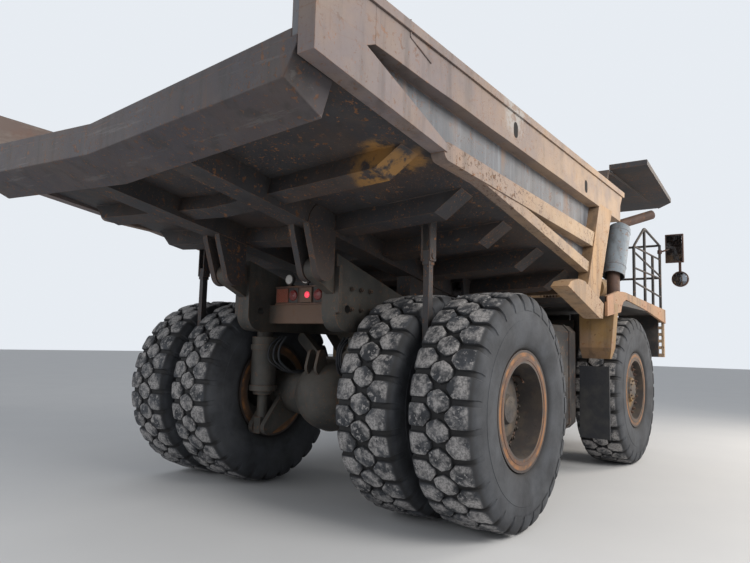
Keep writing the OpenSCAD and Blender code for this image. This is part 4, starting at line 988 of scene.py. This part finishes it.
def side_welds(side, sign):
    """Weld beads along the rails, and the slots in the top rail as near-black ovals of painted shade."""
    shape = Shape(rail_paint)
    # Beads: [X and Z of both ends, Y of the face they lie on, radius]
    face, proud = sign * (BODY_OUT + 0.002), sign * (RAIL_OUT + 0.001)
    for start, end, y, radius in (
            ((-2.40, 2.428), (2.60, 2.243), face, 0.009),
            ((-1.45, RIB_END[1] + RIB_R), (FRONT_EDGE[0], RIB_FRONT[1]), face, 0.009),
            ((-1.45, RIB_END[1] - RIB_R), (FRONT_EDGE[0], RIB_FRONT[0]), face, 0.009),
            ((-1.30, 2.054), (1.68, edge_z(1.68) + LOWER_RAIL_H), face, 0.009),
            ((-2.05, 2.765), (-2.05, 2.64), proud, 0.007), ((-2.05, 2.64), (-1.78, 2.56), proud, 0.007)):
        shape.bead(spot(start[0], y, start[1]), spot(end[0], y, end[1]), radius)
    # Each slot is a near-black oval on the rail's face, which paints the shade inside it
    shape.use(hole_shade)
    for x, z in RAIL_SLOTS:
        oval = arc(x, z + SLOT_HALF, SLOT_R, 0, 180) + arc(x, z - SLOT_HALF, SLOT_R, 180, 360)
        shape.side_plate(oval, RAIL_OUT - 0.01, RAIL_OUT + 0.0015, sign)
    shape.place("side_welds_" + side, "body_paint", "bed")


BOLSTERS = (-1.65, -0.80, 0.0, 0.80, 1.60)
BOLSTER_HALF = 0.103


def under_welds():
    """Weld beads where the bolsters meet the floor plate."""
    shape = Shape(worn_plate)
    for x in BOLSTERS:
        for edge in (x - BOLSTER_HALF, x + BOLSTER_HALF):
            for sign in (-1, 1):
                ends = [spot(edge, sign * y, floor_z(edge, y)) for y in (2.05, 0.92)]
                shape.bead(*ends, 0.010)
    shape.place("under_welds", "worn_steel", "bed")


# Decks, rails and muffler

DECK_TOP = 1.255
DECK_T = 0.08
DECK_REAR = 3.12
DECK_FRONT = 5.92
DECK_Y = 2.20
CAB_REAR = 3.76
GRILLE_X = 5.72
SKIRT_T = 0.04
# Skirt's outline, cut away in an arch over the tyre: along from the deck's rear, up from its top
SKIRT = ((-0.4, 0.0), (0.06, 0.10), (0.42, 0.115), (2.80, 0.015), (2.80, -0.215), (1.60, -0.075),
         (0.70, -0.005), (0.46, 0.010), (0.33, -0.025), (0.25, -0.085), (0.20, -0.175), (-0.4, -0.26))


def deck(side, sign):
    """One deck with its skirt, the box at its rear corner and its slotted front plate."""
    shape = Shape(black_paint)
    under, rear_end, hood_rear = DECK_TOP - DECK_T, DECK_REAR - 0.4, CAB_REAR - 0.16
    shape.level_plate([(rear_end, 1.15), (hood_rear, 1.15), (hood_rear, 0.001), (GRILLE_X - 0.03, 0.001),
                       (GRILLE_X - 0.03, 0.72), (DECK_FRONT, 0.72), (DECK_FRONT, DECK_Y - 0.01),
                       (rear_end, DECK_Y - 0.01)], under, DECK_TOP, sign)
    # Rear box, narrower at its foot and cut away behind: [height, rear X, outer Y]
    shape.use(fender_paint)
    inner, ahead, behind, full = 1.74, DECK_REAR + 0.055, DECK_REAR - 0.12, DECK_Y + 0.001
    rings = []
    for z, x, y in ((0.455, DECK_REAR - 0.01, DECK_Y - 0.09), (0.60, behind, DECK_Y - 0.04),
                    (under - 0.1, behind, full), (under + 0.01, behind, full)):
        rings.append([spot(x, sign * inner, z), spot(ahead, sign * inner, z), spot(ahead, sign * y, z),
                      spot(x, sign * y, z)])
    shape.loft(rings)
    shape.use(sunlit_skirt_paint)
    shape.side_plate([(DECK_REAR + x, DECK_TOP + z) for x, z in SKIRT], DECK_Y - SKIRT_T, DECK_Y, sign)
    # Front plate with a row of slots near its outer edge
    low, slots = DECK_TOP - 0.77, 5
    back, top = DECK_FRONT - 0.06, under + 0.001
    shape.use(black_paint)
    shape.block((back, 1.45, low), (DECK_FRONT, DECK_Y - 0.11, top), sign)
    shape.use(rib_paint)
    shape.block((back, DECK_Y - 0.06, low), (DECK_FRONT, DECK_Y - 0.02, top), sign)
    for k in range(slots + 1):
        z = low + (0.01 if k == 0 else 0.11 * k + 0.02)
        shape.block((back + 0.005, DECK_Y - 0.115, low if k == 0 else z),
                    (DECK_FRONT - 0.005, DECK_Y - 0.055, z + 0.05 if k < slots else under), sign)
    shape.place("fender_" + side, "painted", "chassis", "deck_" + side, bevel=0.006)


RAIL_Y = DECK_Y - SKIRT_T - 0.0225
RAIL_FRONT = DECK_FRONT - 0.055
RAIL_END_Y = -0.80
# Cage beside the right deck, as [X, height above the deck]
CAGE_TOP = ((CAB_REAR + 0.48, 0.86), (CAB_REAR + 1.10, 1.23), (RAIL_FRONT, 1.10))
# Straight bars of the cage: [height at the rear post, height at the front post]
CAGE_BARS = ((0.86, 0.86), (0.78, 0.58), (0.54, 0.54), (0.33, 0.23))


def handrails():
    """Cage and rails round the decks, with bent corners and foot plates."""
    shape = Shape(black_paint)

    def run(points, radius=0.019):
        shape.pipe([spot(x, y, DECK_TOP + h) for x, y, h in points], radius)

    def post(x, y, height):
        foot = spot(x, y, DECK_TOP)
        shape.rod(foot, spot(x, y, DECK_TOP + height), 0.022, 14)
        shape.turned([(0.045, 0.0), (0.045, 0.010)], foot, spot(x, y, DECK_TOP + 1), 14)

    rear_x, top_x = CAGE_TOP[0][0], CAGE_TOP[1][0]
    run([(rear_x, -RAIL_Y, 0.0)] + [(x, -RAIL_Y, h) for x, h in CAGE_TOP] + [(RAIL_FRONT, RAIL_END_Y, 1.10)])
    for rear, ahead in CAGE_BARS:
        run([(rear_x, -RAIL_Y, rear), (RAIL_FRONT, -RAIL_Y, ahead)], 0.015)
    run([(RAIL_FRONT, -RAIL_Y, 0.55), (RAIL_FRONT, RAIL_END_Y, 0.55)])
    for x, y, height in ((rear_x, -RAIL_Y, 0.86), (top_x, -RAIL_Y, 1.23), (CAB_REAR + 1.6, -RAIL_Y, 0.86),
                         (RAIL_FRONT, -RAIL_Y, 1.11), (RAIL_FRONT, -1.45, 1.10),
                         (RAIL_FRONT, RAIL_END_Y, 1.10)):
        post(x, y, height)
    left = [(DECK_FRONT - 0.47, RAIL_Y), (RAIL_FRONT, RAIL_Y), (RAIL_FRONT, 1.85)]
    for height in (1.08, 0.54):
        run([(x, y, height) for x, y in left])
    for x, y in left:
        post(x, y, 1.09)
    shape.place("dressed_handrails", "black_steel", "chassis", "handrails")


MUFFLER_FOOT = (DECK_REAR + 0.31, 0.13 - DECK_Y, DECK_TOP + 0.33)
MUFFLER_LEAN = math.radians(25)
MUFFLER_R = 0.150
MUFFLER_H = 0.80
MUFFLER_BANDS = (0.13, 0.70)
SHROUD_T = 0.010


def muffler():
    """Pipe up through the deck, the muffler in its open shroud, and the outlet pipe."""
    shape = Shape(rust_steel)
    foot = spot(*MUFFLER_FOOT)
    on_deck = foot - Vector((0, 0, 0.33))
    lean = Vector((math.sin(MUFFLER_LEAN), 0, math.cos(MUFFLER_LEAN)))
    shape.pipe([on_deck, foot, foot + lean * 0.2], 0.086, 0.12, 28)
    shape.turned([(0.115, 0), (0.115, 0.012)], on_deck, foot, 28)
    bend = foot + lean * (MUFFLER_H + 0.02)
    outlet = Vector((0.45, -0.33, 0.23))
    end = bend + outlet
    shape.pipe([bend - lean * 0.05, bend + lean * 0.05, end], 0.066, 0.10, 24)
    # A near-black disc in the outlet's mouth paints the shade inside the pipe
    shape.use(hole_shade)
    shape.turned([(0.055, 0), (0.055, 0.003)], end - outlet.normalized() * 0.001, end + outlet, 24)
    shape.use(muffler_steel)
    inside, r, top = MUFFLER_R - SHROUD_T, MUFFLER_R, MUFFLER_H
    profile = [(inside, 0.120), (inside, 0.0), (r, 0.0), (r, 0.110)]
    for z in MUFFLER_BANDS:
        profile += [(r, z), (r + 0.005, z + 0.006), (r + 0.005, z + 0.022), (r, z + 0.028)]
    profile += [(r, top - 0.02), (r - 0.01, top), (0.075, top + 0.055), (0.070, top + 0.055)]
    shape.turned(profile, foot, foot + lean, 56)
    shape.place("dressed_muffler", "muffler_metal", "chassis", "exhaust", sharp=35.0)


# Lamps and mirrors

TAIL_LAMP_X = -0.54
# Segments of the tail lamp panel across the truck, from the right: [Y, half width, kind]
TAIL_SEGMENTS = ((-0.345, 0.065, "orange"), (-0.205, 0.060, "round"), (-0.045, 0.080, "box"),
                 (0.150, 0.060, "round"), (0.310, 0.085, "orange"))
PANEL_Z = (0.966, 1.165)
PANEL_HALF = 0.42
PANEL_EDGE = 0.015
REVERSING_Y = (-0.26, -0.02, 0.22)
REVERSING_Z = 1.24
HEAD_LAMP = (6.22, 1.18, 0.045)
# Turned forms: [radius, distance along]
DOME = ((0.058, 0), (0.058, 0.014), (0.050, 0.022), (0.030, 0.027), (0.008, 0.029))
BULB = ((0.034, 0), (0.034, 0.008), (0.020, 0.014))
REVERSING_BOWL = ((0.030, 0), (0.055, 0.015), (0.062, 0.042), (0.062, 0.056), (0.054, 0.060))
REVERSING_LENS = ((0.052, 0.056), (0.048, 0.064), (0.030, 0.068), (0.010, 0.069))
HEAD_BOWL = ((0.070, 0), (0.0945, 0.03), (0.0945, 0.085), (0.085, 0.094))
HEAD_LENS = ((0.084, 0.088), (0.080, 0.096), (0.050, 0.0985), (0.012, 0.0995))


def tail_lamps():
    """Tail lamp panel with its five segments, reversing lamps and head lamps."""
    shape = Shape(rust_steel)
    ahead = Vector((1, 0, 0))
    face, back = TAIL_LAMP_X, TAIL_LAMP_X + 0.012
    low, high = PANEL_Z
    middle = (low + high) / 2
    shape.block((back, -PANEL_HALF, low), (face + 0.07, PANEL_HALF, high))
    for z in (low, high - PANEL_EDGE):
        shape.block((face, -PANEL_HALF, z), (back + 0.001, PANEL_HALF, z + PANEL_EDGE))
    for y, half, kind in TAIL_SEGMENTS:
        shape.use(black_paint)
        shape.block((back - 0.006, y - half - 0.006, low + 0.018),
                    (back + 0.001, y + half + 0.006, high - 0.018))
        if kind == "orange":
            shape.use(lens_orange)
            shape.block((face - 0.004, y - half, low + 0.025), (back, y + half, high - 0.025))
        if kind == "round":
            at = spot(back, y, middle)
            shape.use(lens_red)
            shape.turned(DOME, at, at - ahead, 28)
        if kind == "box":
            shape.use(oily_steel)
            shape.block((face - 0.010, y - half, low + 0.02), (back, y + half, high - 0.02))
            at = spot(face - 0.010, y - 0.02, middle)
            shape.use(lens_lit)
            shape.turned(BULB, at, at - ahead, 24)
    # Reversing lamps on their brackets
    for y in REVERSING_Y:
        shape.use(black_paint)
        shape.block((face + 0.02, y - 0.02, high - 0.005), (face + 0.045, y + 0.02, 1.20))
        at = spot(face + 0.06, y, REVERSING_Z)
        shape.turned(REVERSING_BOWL, at, at - ahead, 28)
        shape.use(lens_clear)
        shape.turned(REVERSING_LENS, at, at - ahead, 28)
    # Head lamps in the bumper
    x, y, z = HEAD_LAMP
    for sign in (-1, 1):
        at = spot(x, sign * y, z)
        shape.use(black_paint)
        shape.turned(HEAD_BOWL, at, at + ahead, 32)
        shape.use(lens_clear)
        shape.turned(HEAD_LENS, at, at + ahead, 32)
    shape.place("dressed_lamps", "lamp", "chassis", "lamps", bevel=0.0015)


MIRROR_X = RAIL_FRONT + 0.075
# Y past the deck's edge and Z over its top: two corners of the flat glass, and the round one's middle
FLAT_MIRROR = ((0.03, 0.83), (0.27, 1.27))
ROUND_MIRROR = (0.23, 0.53)


def mirror_glasses():
    """Glass of the flat and the wide-angle mirrors, facing back."""
    shape = Shape(mirror_glass)
    (y0, z0), (y1, z1) = FLAT_MIRROR
    crown = [(0.112, 0), (0.108, 0.006), (0.060, 0.014), (0.015, 0.017)]
    for sign in (-1, 1):
        shape.block((MIRROR_X - 0.003, DECK_Y + y0, DECK_TOP + z0),
                    (MIRROR_X + 0.001, DECK_Y + y1, DECK_TOP + z1), sign)
        at = spot(MIRROR_X, sign * (DECK_Y + ROUND_MIRROR[0]), DECK_TOP + ROUND_MIRROR[1])
        shape.turned(crown, at, at - Vector((1, 0, 0)), 32)
    shape.place("mirror_glasses", "glass", "chassis", bevel=0.001)


# Cab fittings

CAB_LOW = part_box("cab_shell")[0]
GLASS_LOW, GLASS_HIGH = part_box("cab_glass")
WINDSCREEN_X = 3.757


def seal(shape, start, end, lean=0.0):
    """Rubber seal round the window above the line from start to end, its top moved ahead by lean."""
    corners = [Vector((x, y, GLASS_LOW.z)) for x, y in (start, end)]
    corners += [Vector((x + lean, y, GLASS_HIGH.z)) for x, y in (end, start)]
    middle = (corners[0] + corners[1]) / 2
    shape.pipe([middle] + corners[1:] + corners[:1] + [middle], 0.011, 0.04, 8)


def cab_trim():
    """Window seals and wiper of the cab."""
    shape = Shape(rubber_flap)
    rear, right, left = CAB_LOW.x - 0.002, CAB_LOW.y - 0.002, 1.732
    seal(shape, (rear, GLASS_LOW.y + 0.085), (rear, GLASS_HIGH.y - 0.085))
    seal(shape, (2.21, right), (3.43, right))
    seal(shape, (2.18, left), (2.54, left))
    seal(shape, (WINDSCREEN_X, 0.54), (WINDSCREEN_X, 1.62), -0.125)
    shape.use(black_paint)
    wiper = Vector((WINDSCREEN_X + 0.018, 1.08, GLASS_LOW.z - 0.03))
    shape.turned([(0.022, 0), (0.022, 0.025)], wiper - Vector((0.02, 0, 0)), wiper, 12)
    shape.pipe([wiper, wiper + Vector((-0.045, 0.16, 0.42))], 0.006, 0.02, 8)
    shape.pipe([wiper + Vector((-0.028, 0.05, 0.20)), wiper + Vector((-0.072, 0.27, 0.62))], 0.009, 0.02, 8)
    shape.place("cab_trim", "black_steel", "chassis")


# Seat

SEAT_LOW, SEAT_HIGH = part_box("seat")
SEAT_PLACE = Vector((SEAT_LOW.x + 0.08, (SEAT_LOW.y + SEAT_HIGH.y) / 2, SEAT_LOW.z))
# Pads of the driver's seat: [name, middle, half sizes, lean in degrees]
SEAT_PADS = (("seat_cushion", (0.26, 0.0, 0.365), (0.235, 0.225, 0.050), 0.0),
             ("seat_back", (0.025, 0.0, 0.70), (0.048, 0.215, 0.245), -9.0),
             ("seat_head", (-0.035, 0.0, 1.050), (0.036, 0.120, 0.078), 0.0))
PAD_ROUND = 0.028
PAD_VOXEL = 0.013


def pad(name, middle, half, lean):
    """A cushion: a rounded block, swollen by a cloth simulation."""
    shape = Shape(seat_cloth)
    corners = ((-1, -1), (1, -1), (1, 1), (-1, 1))
    shape.loft([[(half[0] * x, half[1] * y, half[2] * z) for x, y in corners] for z in (-1, 1)])
    obj = shape.place(name, None, None)
    rounded = obj.modifiers.new("rounded", "BEVEL")
    rounded.width, rounded.segments = PAD_ROUND, 3
    even = obj.modifiers.new("even", "REMESH")
    even.mode, even.voxel_size = "VOXEL", PAD_VOXEL
    bake(obj)
    swell(obj)
    smooth = obj.modifiers.new("smooth", "SUBSURF")
    smooth.levels = smooth.render_levels = 1
    bake(obj)
    turn = Matrix.Rotation(math.radians(lean), 4, "Y")
    obj.data.transform(Matrix.Translation(SEAT_PLACE + Vector(middle)) @ turn)
    obj.data.polygons.foreach_set("use_smooth", [True] * len(obj.data.polygons))
    dress(obj, seat_cloth)
    return obj


def bake(obj):
    """Applies an object's modifiers to its mesh."""
    graph = bpy.context.evaluated_depsgraph_get()
    data = bpy.data.meshes.new_from_object(obj.evaluated_get(graph))
    obj.modifiers.clear()
    old, obj.data = obj.data, data
    bpy.data.meshes.remove(old)


def swell(obj, frames=14, cap=0.010):
    """Blows the pad up as cloth, and keeps each point within a cap."""
    before = [vertex.co.copy() for vertex in obj.data.vertices]
    cloth = obj.modifiers.new("cloth", "CLOTH")
    cloth.settings.use_pressure = True
    cloth.settings.uniform_pressure_force = 4.0
    cloth.settings.effector_weights.gravity = 0.0
    scene = bpy.context.scene
    for step in range(1, frames + 1):
        scene.frame_set(step)
    bake(obj)
    scene.frame_set(1)
    for vertex, start in zip(obj.data.vertices, before):
        move = vertex.co - start
        if move.length > cap:
            vertex.co = start + move.normalized() * cap


def fit_seat():
    """Driver's seat: three pads on a moulded base with its pedestal."""
    shape = Shape(cab_plastic)
    at = SEAT_PLACE

    def on_seat(x, y, z):
        return at + Vector((x, y, z))

    pedestal = [(0.15, 0.0), (0.15, 0.015), (0.075, 0.03), (0.07, 0.24), (0.14, 0.285)]
    shape.turned(pedestal, on_seat(0.27, 0, 0.001), on_seat(0.27, 0, 1.001), 28)
    x, y, z = at.x - REAR_X, at.y, at.z - AXLE_Z
    shape.block((x + 0.02, y - 0.21, z + 0.28), (x + 0.48, y + 0.21, z + 0.318))
    shape.side_plate([(x - 0.035, z + 0.45), (x - 0.012, z + 0.45), (x - 0.085, z + 0.94),
                      (x - 0.105, z + 0.94)], y - 0.19, y + 0.19)
    for side in (-0.05, 0.05):
        shape.rod(on_seat(-0.045, side, 0.93), on_seat(-0.035, side, 0.99), 0.007, 10)
    for side in (-0.20, 0.20):
        shape.pipe([on_seat(0.10, side, 0.31), on_seat(-0.01, side, 0.36), on_seat(-0.03, side, 0.52)],
                   0.014, 0.05, 10)
    shape.place("seat_base", "seat_fabric", "chassis", "seat", bevel=0.006)
    for name, middle, half, lean in SEAT_PADS:
        obj = pad(name, middle, half, lean)
        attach(obj, "chassis")


# Small fasteners and fittings of the chassis

BUMPER_LOW, BUMPER_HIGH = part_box("bumper")
TANK_CAP = Vector((REAR_X + 2.35, -1.40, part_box("fuel_tank")[1].z))
# Bolts on the frame's rear end and on the bumper
FRAME_BOLTS_X, FRAME_BOLTS_Z, FRAME_OUT = (-0.60, -0.45, -0.30), (0.90, 1.10), 0.710
BUMPER_BOLTS_Y = (0.45, 0.80, 1.38)


def chassis_fasteners():
    """Bolts on the axle, the frame and the bumper, the axle's hoses, and the tank's cap."""
    shape = Shape(oily_steel)
    for sign in (-1, 1):
        out = Vector((0, sign, 0))
        for at in ring_places(REAR_X, COVER_BOLT_R, 16, AXLE_FLANGE_Y, sign):
            shape.nut(at, -out, 0.026)
        for x in FRAME_BOLTS_X:
            for z in FRAME_BOLTS_Z:
                shape.nut(spot(x, sign * FRAME_OUT, z), out, 0.034)
    shape.use(fender_paint)
    for sign in (-1, 1):
        for y in BUMPER_BOLTS_Y:
            at = Vector((BUMPER_HIGH.x - 0.110, sign * y, BUMPER_LOW.z + 0.52))
            shape.nut(at, Vector((1, 0, 0)), 0.030)
    # Hoses from the frame down to the axle, side by side
    shape.use(rubber_flap)
    for sign in (-1, 1):
        for k in range(3):
            high, low, back = sign * (0.42 + 0.05 * k), sign * (0.34 + 0.05 * k), 0.03 * k
            route = [(-0.34, high, 0.62), (-0.44 - back, high, 0.52), (-0.46 - back, high, 0.36),
                     (-0.30, low, 0.22), (-0.10, low, 0.25)]
            shape.pipe([spot(*place) for place in route], 0.013 - 0.002 * k, 0.10, 10)
    shape.use(rust_steel)
    cap = [(0.078, -0.012), (0.078, 0.014), (0.070, 0.020)]
    shape.turned(cap, TANK_CAP, TANK_CAP + Vector((0, 0, 1)), 24)
    shape.place("chassis_fasteners", "chassis_steel", "chassis")


# Stage

CAMERA_PLACE = Vector((-7.161, -4.619, 1.62))
CAMERA_YAW = math.radians(36.74)
CAMERA_PITCH = math.radians(5.82)
CAMERA_ROLL = 0.026
CAMERA_LENS = 30.38


def set_camera():
    """The photo's camera, solved from the wheels, with its slight roll."""
    flat, rise = math.cos(CAMERA_PITCH), math.sin(CAMERA_PITCH)
    ahead = Vector((flat * math.cos(CAMERA_YAW), flat * math.sin(CAMERA_YAW), rise))
    right = ahead.cross(Vector((0, 0, 1))).normalized()
    up = right.cross(ahead)
    turned_right = math.cos(CAMERA_ROLL) * right + math.sin(CAMERA_ROLL) * up
    turned_up = -math.sin(CAMERA_ROLL) * right + math.cos(CAMERA_ROLL) * up
    data = bpy.data.cameras.new("camera")
    data.sensor_width = 36.0
    data.lens = CAMERA_LENS
    data.clip_start, data.clip_end = 0.05, 500.0
    camera = bpy.data.objects.new("camera", data)
    bpy.context.collection.objects.link(camera)
    turn = Matrix((turned_right, turned_up, -ahead)).transposed()
    camera.matrix_world = Matrix.Translation(CAMERA_PLACE) @ turn.to_4x4()
    bpy.context.scene.camera = camera


def add_light(name, place, aim, width, height, power, colour=(1, 1, 1)):
    data = bpy.data.lights.new(name, "AREA")
    data.shape = "RECTANGLE"
    data.size, data.size_y = width, height
    data.energy = power
    data.color = colour
    light = bpy.data.objects.new(name, data)
    bpy.context.collection.objects.link(light)
    light.location = place
    light.rotation_mode = "QUATERNION"
    light.rotation_quaternion = (Vector(aim) - Vector(place)).to_track_quat("-Z", "Y")


def set_world(colour, strength):
    """Soft light from all round; the camera and reflections see the pale background."""
    world = bpy.data.worlds.new("studio")
    bpy.context.scene.world = world
    finish = Finish("studio", world)
    shown = finish.node("ShaderNodeLightPath", {}, out="Is Camera Ray")
    for ray in ("Is Glossy Ray", "Is Transmission Ray"):
        shown = shown.highest(finish.node("ShaderNodeLightPath", {}, out=ray))
    soft = finish.node("ShaderNodeBackground", {}, (0.93, 0.96, 1.0), strength)
    pale = finish.node("ShaderNodeBackground", {}, tuple(colour), 1.0)
    both = finish.node("ShaderNodeMixShader", {}, shown, soft, pale)
    finish.node("ShaderNodeOutputWorld", {}, both, out=None)


def pale_floor(finish):
    finish.start(finish.grain(0.8, 4.0), (0.62, 0.63, 0.65), (0.68, 0.69, 0.70))
    return finish.close(0.9)


def build_stage(settings):
    """A pale floor, the background, a warm key light from the right and two weaker ones."""
    shape = Shape(pale_floor)
    half = settings.floor_size / 2
    corners = ((-1, -1), (1, -1), (1, 1), (-1, 1))
    shape.face([shape.mesh.verts.new((x * half, y * half, -0.001)) for x, y in corners])
    shape.place("floor", None, None)
    set_world(settings.background, settings.world_light)
    add_light("key", (-2.5, -11.0, 7.5), (-0.5, -1.0, 1.8), 6.0, 5.0, settings.key_power, (1.0, 0.96, 0.90))
    add_light("front_side", (8.0, -7.0, 5.0), (1.5, -1.0, 2.0), 4.0, 4.0, 450.0, (1.0, 0.90, 0.78))
    add_light("fill", (-9.0, 3.0, 3.5), (-2.0, 0, 1.5), 5.0, 4.0, 110.0)
    bpy.context.scene.view_settings.view_transform = "Standard"
    set_camera()


# Settings and operators

class HAUL_PG_wheels(bpy.types.PropertyGroup):
    pitches: bpy.props.IntProperty(
        name="Pitches", description="Lugs in each row round a tyre", default=28, min=12, max=40)
    depth: bpy.props.FloatProperty(
        name="Lug depth", description="Depth of the grooves between the lugs", default=0.046, unit="LENGTH")
    rear_nuts: bpy.props.IntProperty(
        name="Rear nuts", description="Nuts round a rear wheel", default=24, min=8, max=40)
    front_nuts: bpy.props.IntProperty(
        name="Front nuts", description="Nuts round a front wheel", default=20, min=8, max=40)


class HAUL_PG_stage(bpy.types.PropertyGroup):
    floor_size: bpy.props.FloatProperty(
        name="Floor size", description="Edge of the square floor", default=160.0, unit="LENGTH")
    background: bpy.props.FloatVectorProperty(
        name="Background", description="Colour behind the truck", default=(0.80, 0.84, 0.89), subtype="COLOR")
    world_light: bpy.props.FloatProperty(
        name="World light", description="Strength of the light from all round", default=0.44)
    key_power: bpy.props.FloatProperty(
        name="Key power", description="Power of the main lamp", default=1000.0)


class HAUL_OT_finishes(bpy.types.Operator):
    """Give every solid of the truck its finish"""

    bl_idname = "haul.finishes"
    bl_label = "Finish the solids"

    def execute(self, context):
        for maker, nodes in FINISHES:
            for name in nodes:
                dress(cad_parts[name], maker)
        return {"FINISHED"}


class HAUL_OT_tyres(bpy.types.Operator):
    """Fit the tyres with their lugs, and the nuts and rings of the wheels"""

    bl_idname = "haul.tyres"
    bl_label = "Wheels"

    def execute(self, context):
        fit_tyres(context.scene.haul_wheels)
        wheel_fittings(context.scene.haul_wheels)
        return {"FINISHED"}


class HAUL_OT_dump_body(bpy.types.Operator):
    """Build the floor, the sides and the welds of the dump body"""

    bl_idname = "haul.dump_body"
    bl_label = "Dump body"

    def execute(self, context):
        dump_floor()
        for side, sign in SIDES.items():
            dump_side(side, sign)
            side_welds(side, sign)
        under_welds()
        return {"FINISHED"}


class HAUL_OT_decks(bpy.types.Operator):
    """Build the fenders, the handrails and the muffler"""

    bl_idname = "haul.decks"
    bl_label = "Decks and rails"

    def execute(self, context):
        for side, sign in SIDES.items():
            deck(side, sign)
        handrails()
        muffler()
        return {"FINISHED"}


class HAUL_OT_lamps(bpy.types.Operator):
    """Build the lamps and the glass of the mirrors"""

    bl_idname = "haul.lamps"
    bl_label = "Lamps and mirrors"

    def execute(self, context):
        tail_lamps()
        mirror_glasses()
        return {"FINISHED"}


class HAUL_OT_cab(bpy.types.Operator):
    """Trim the cab and make the driver's seat"""

    bl_idname = "haul.cab"
    bl_label = "Cab and seat"

    def execute(self, context):
        cab_trim()
        fit_seat()
        return {"FINISHED"}


class HAUL_OT_fasteners(bpy.types.Operator):
    """Fit the bolts of the chassis"""

    bl_idname = "haul.fasteners"
    bl_label = "Fasteners"

    def execute(self, context):
        chassis_fasteners()
        return {"FINISHED"}


class HAUL_OT_stage(bpy.types.Operator):
    """Set the floor, the lights and the camera"""

    bl_idname = "haul.stage"
    bl_label = "Stage"

    def execute(self, context):
        build_stage(context.scene.haul_stage)
        return {"FINISHED"}


class HAUL_PT_sidebar(bpy.types.Panel):
    """Lists the pieces of the truck"""

    bl_idname = "HAUL_PT_sidebar"
    bl_label = "Haul truck"
    bl_space_type = "VIEW_3D"
    bl_region_type = "UI"
    bl_category = "Haul truck"

    def draw(self, context):
        for operator in OPERATORS:
            self.layout.operator(operator.bl_idname)


OPERATORS = [HAUL_OT_finishes, HAUL_OT_tyres, HAUL_OT_dump_body, HAUL_OT_decks, HAUL_OT_lamps, HAUL_OT_cab,
             HAUL_OT_fasteners, HAUL_OT_stage]
GROUPS = {"haul_wheels": HAUL_PG_wheels, "haul_stage": HAUL_PG_stage}
CLASSES = [*GROUPS.values(), *OPERATORS, HAUL_PT_sidebar]


def register():
    for cls in CLASSES:
        bpy.utils.register_class(cls)
    for name, group in GROUPS.items():
        setattr(bpy.types.Scene, name, bpy.props.PointerProperty(type=group))


def unregister():
    for name in GROUPS:
        delattr(bpy.types.Scene, name)
    for cls in reversed(CLASSES):
        bpy.utils.unregister_class(cls)


def main():
    register()
    for operator in OPERATORS:
        group, name = operator.bl_idname.split(".")
        getattr(getattr(bpy.ops, group), name)()


if __name__ == "__main__":
    main()
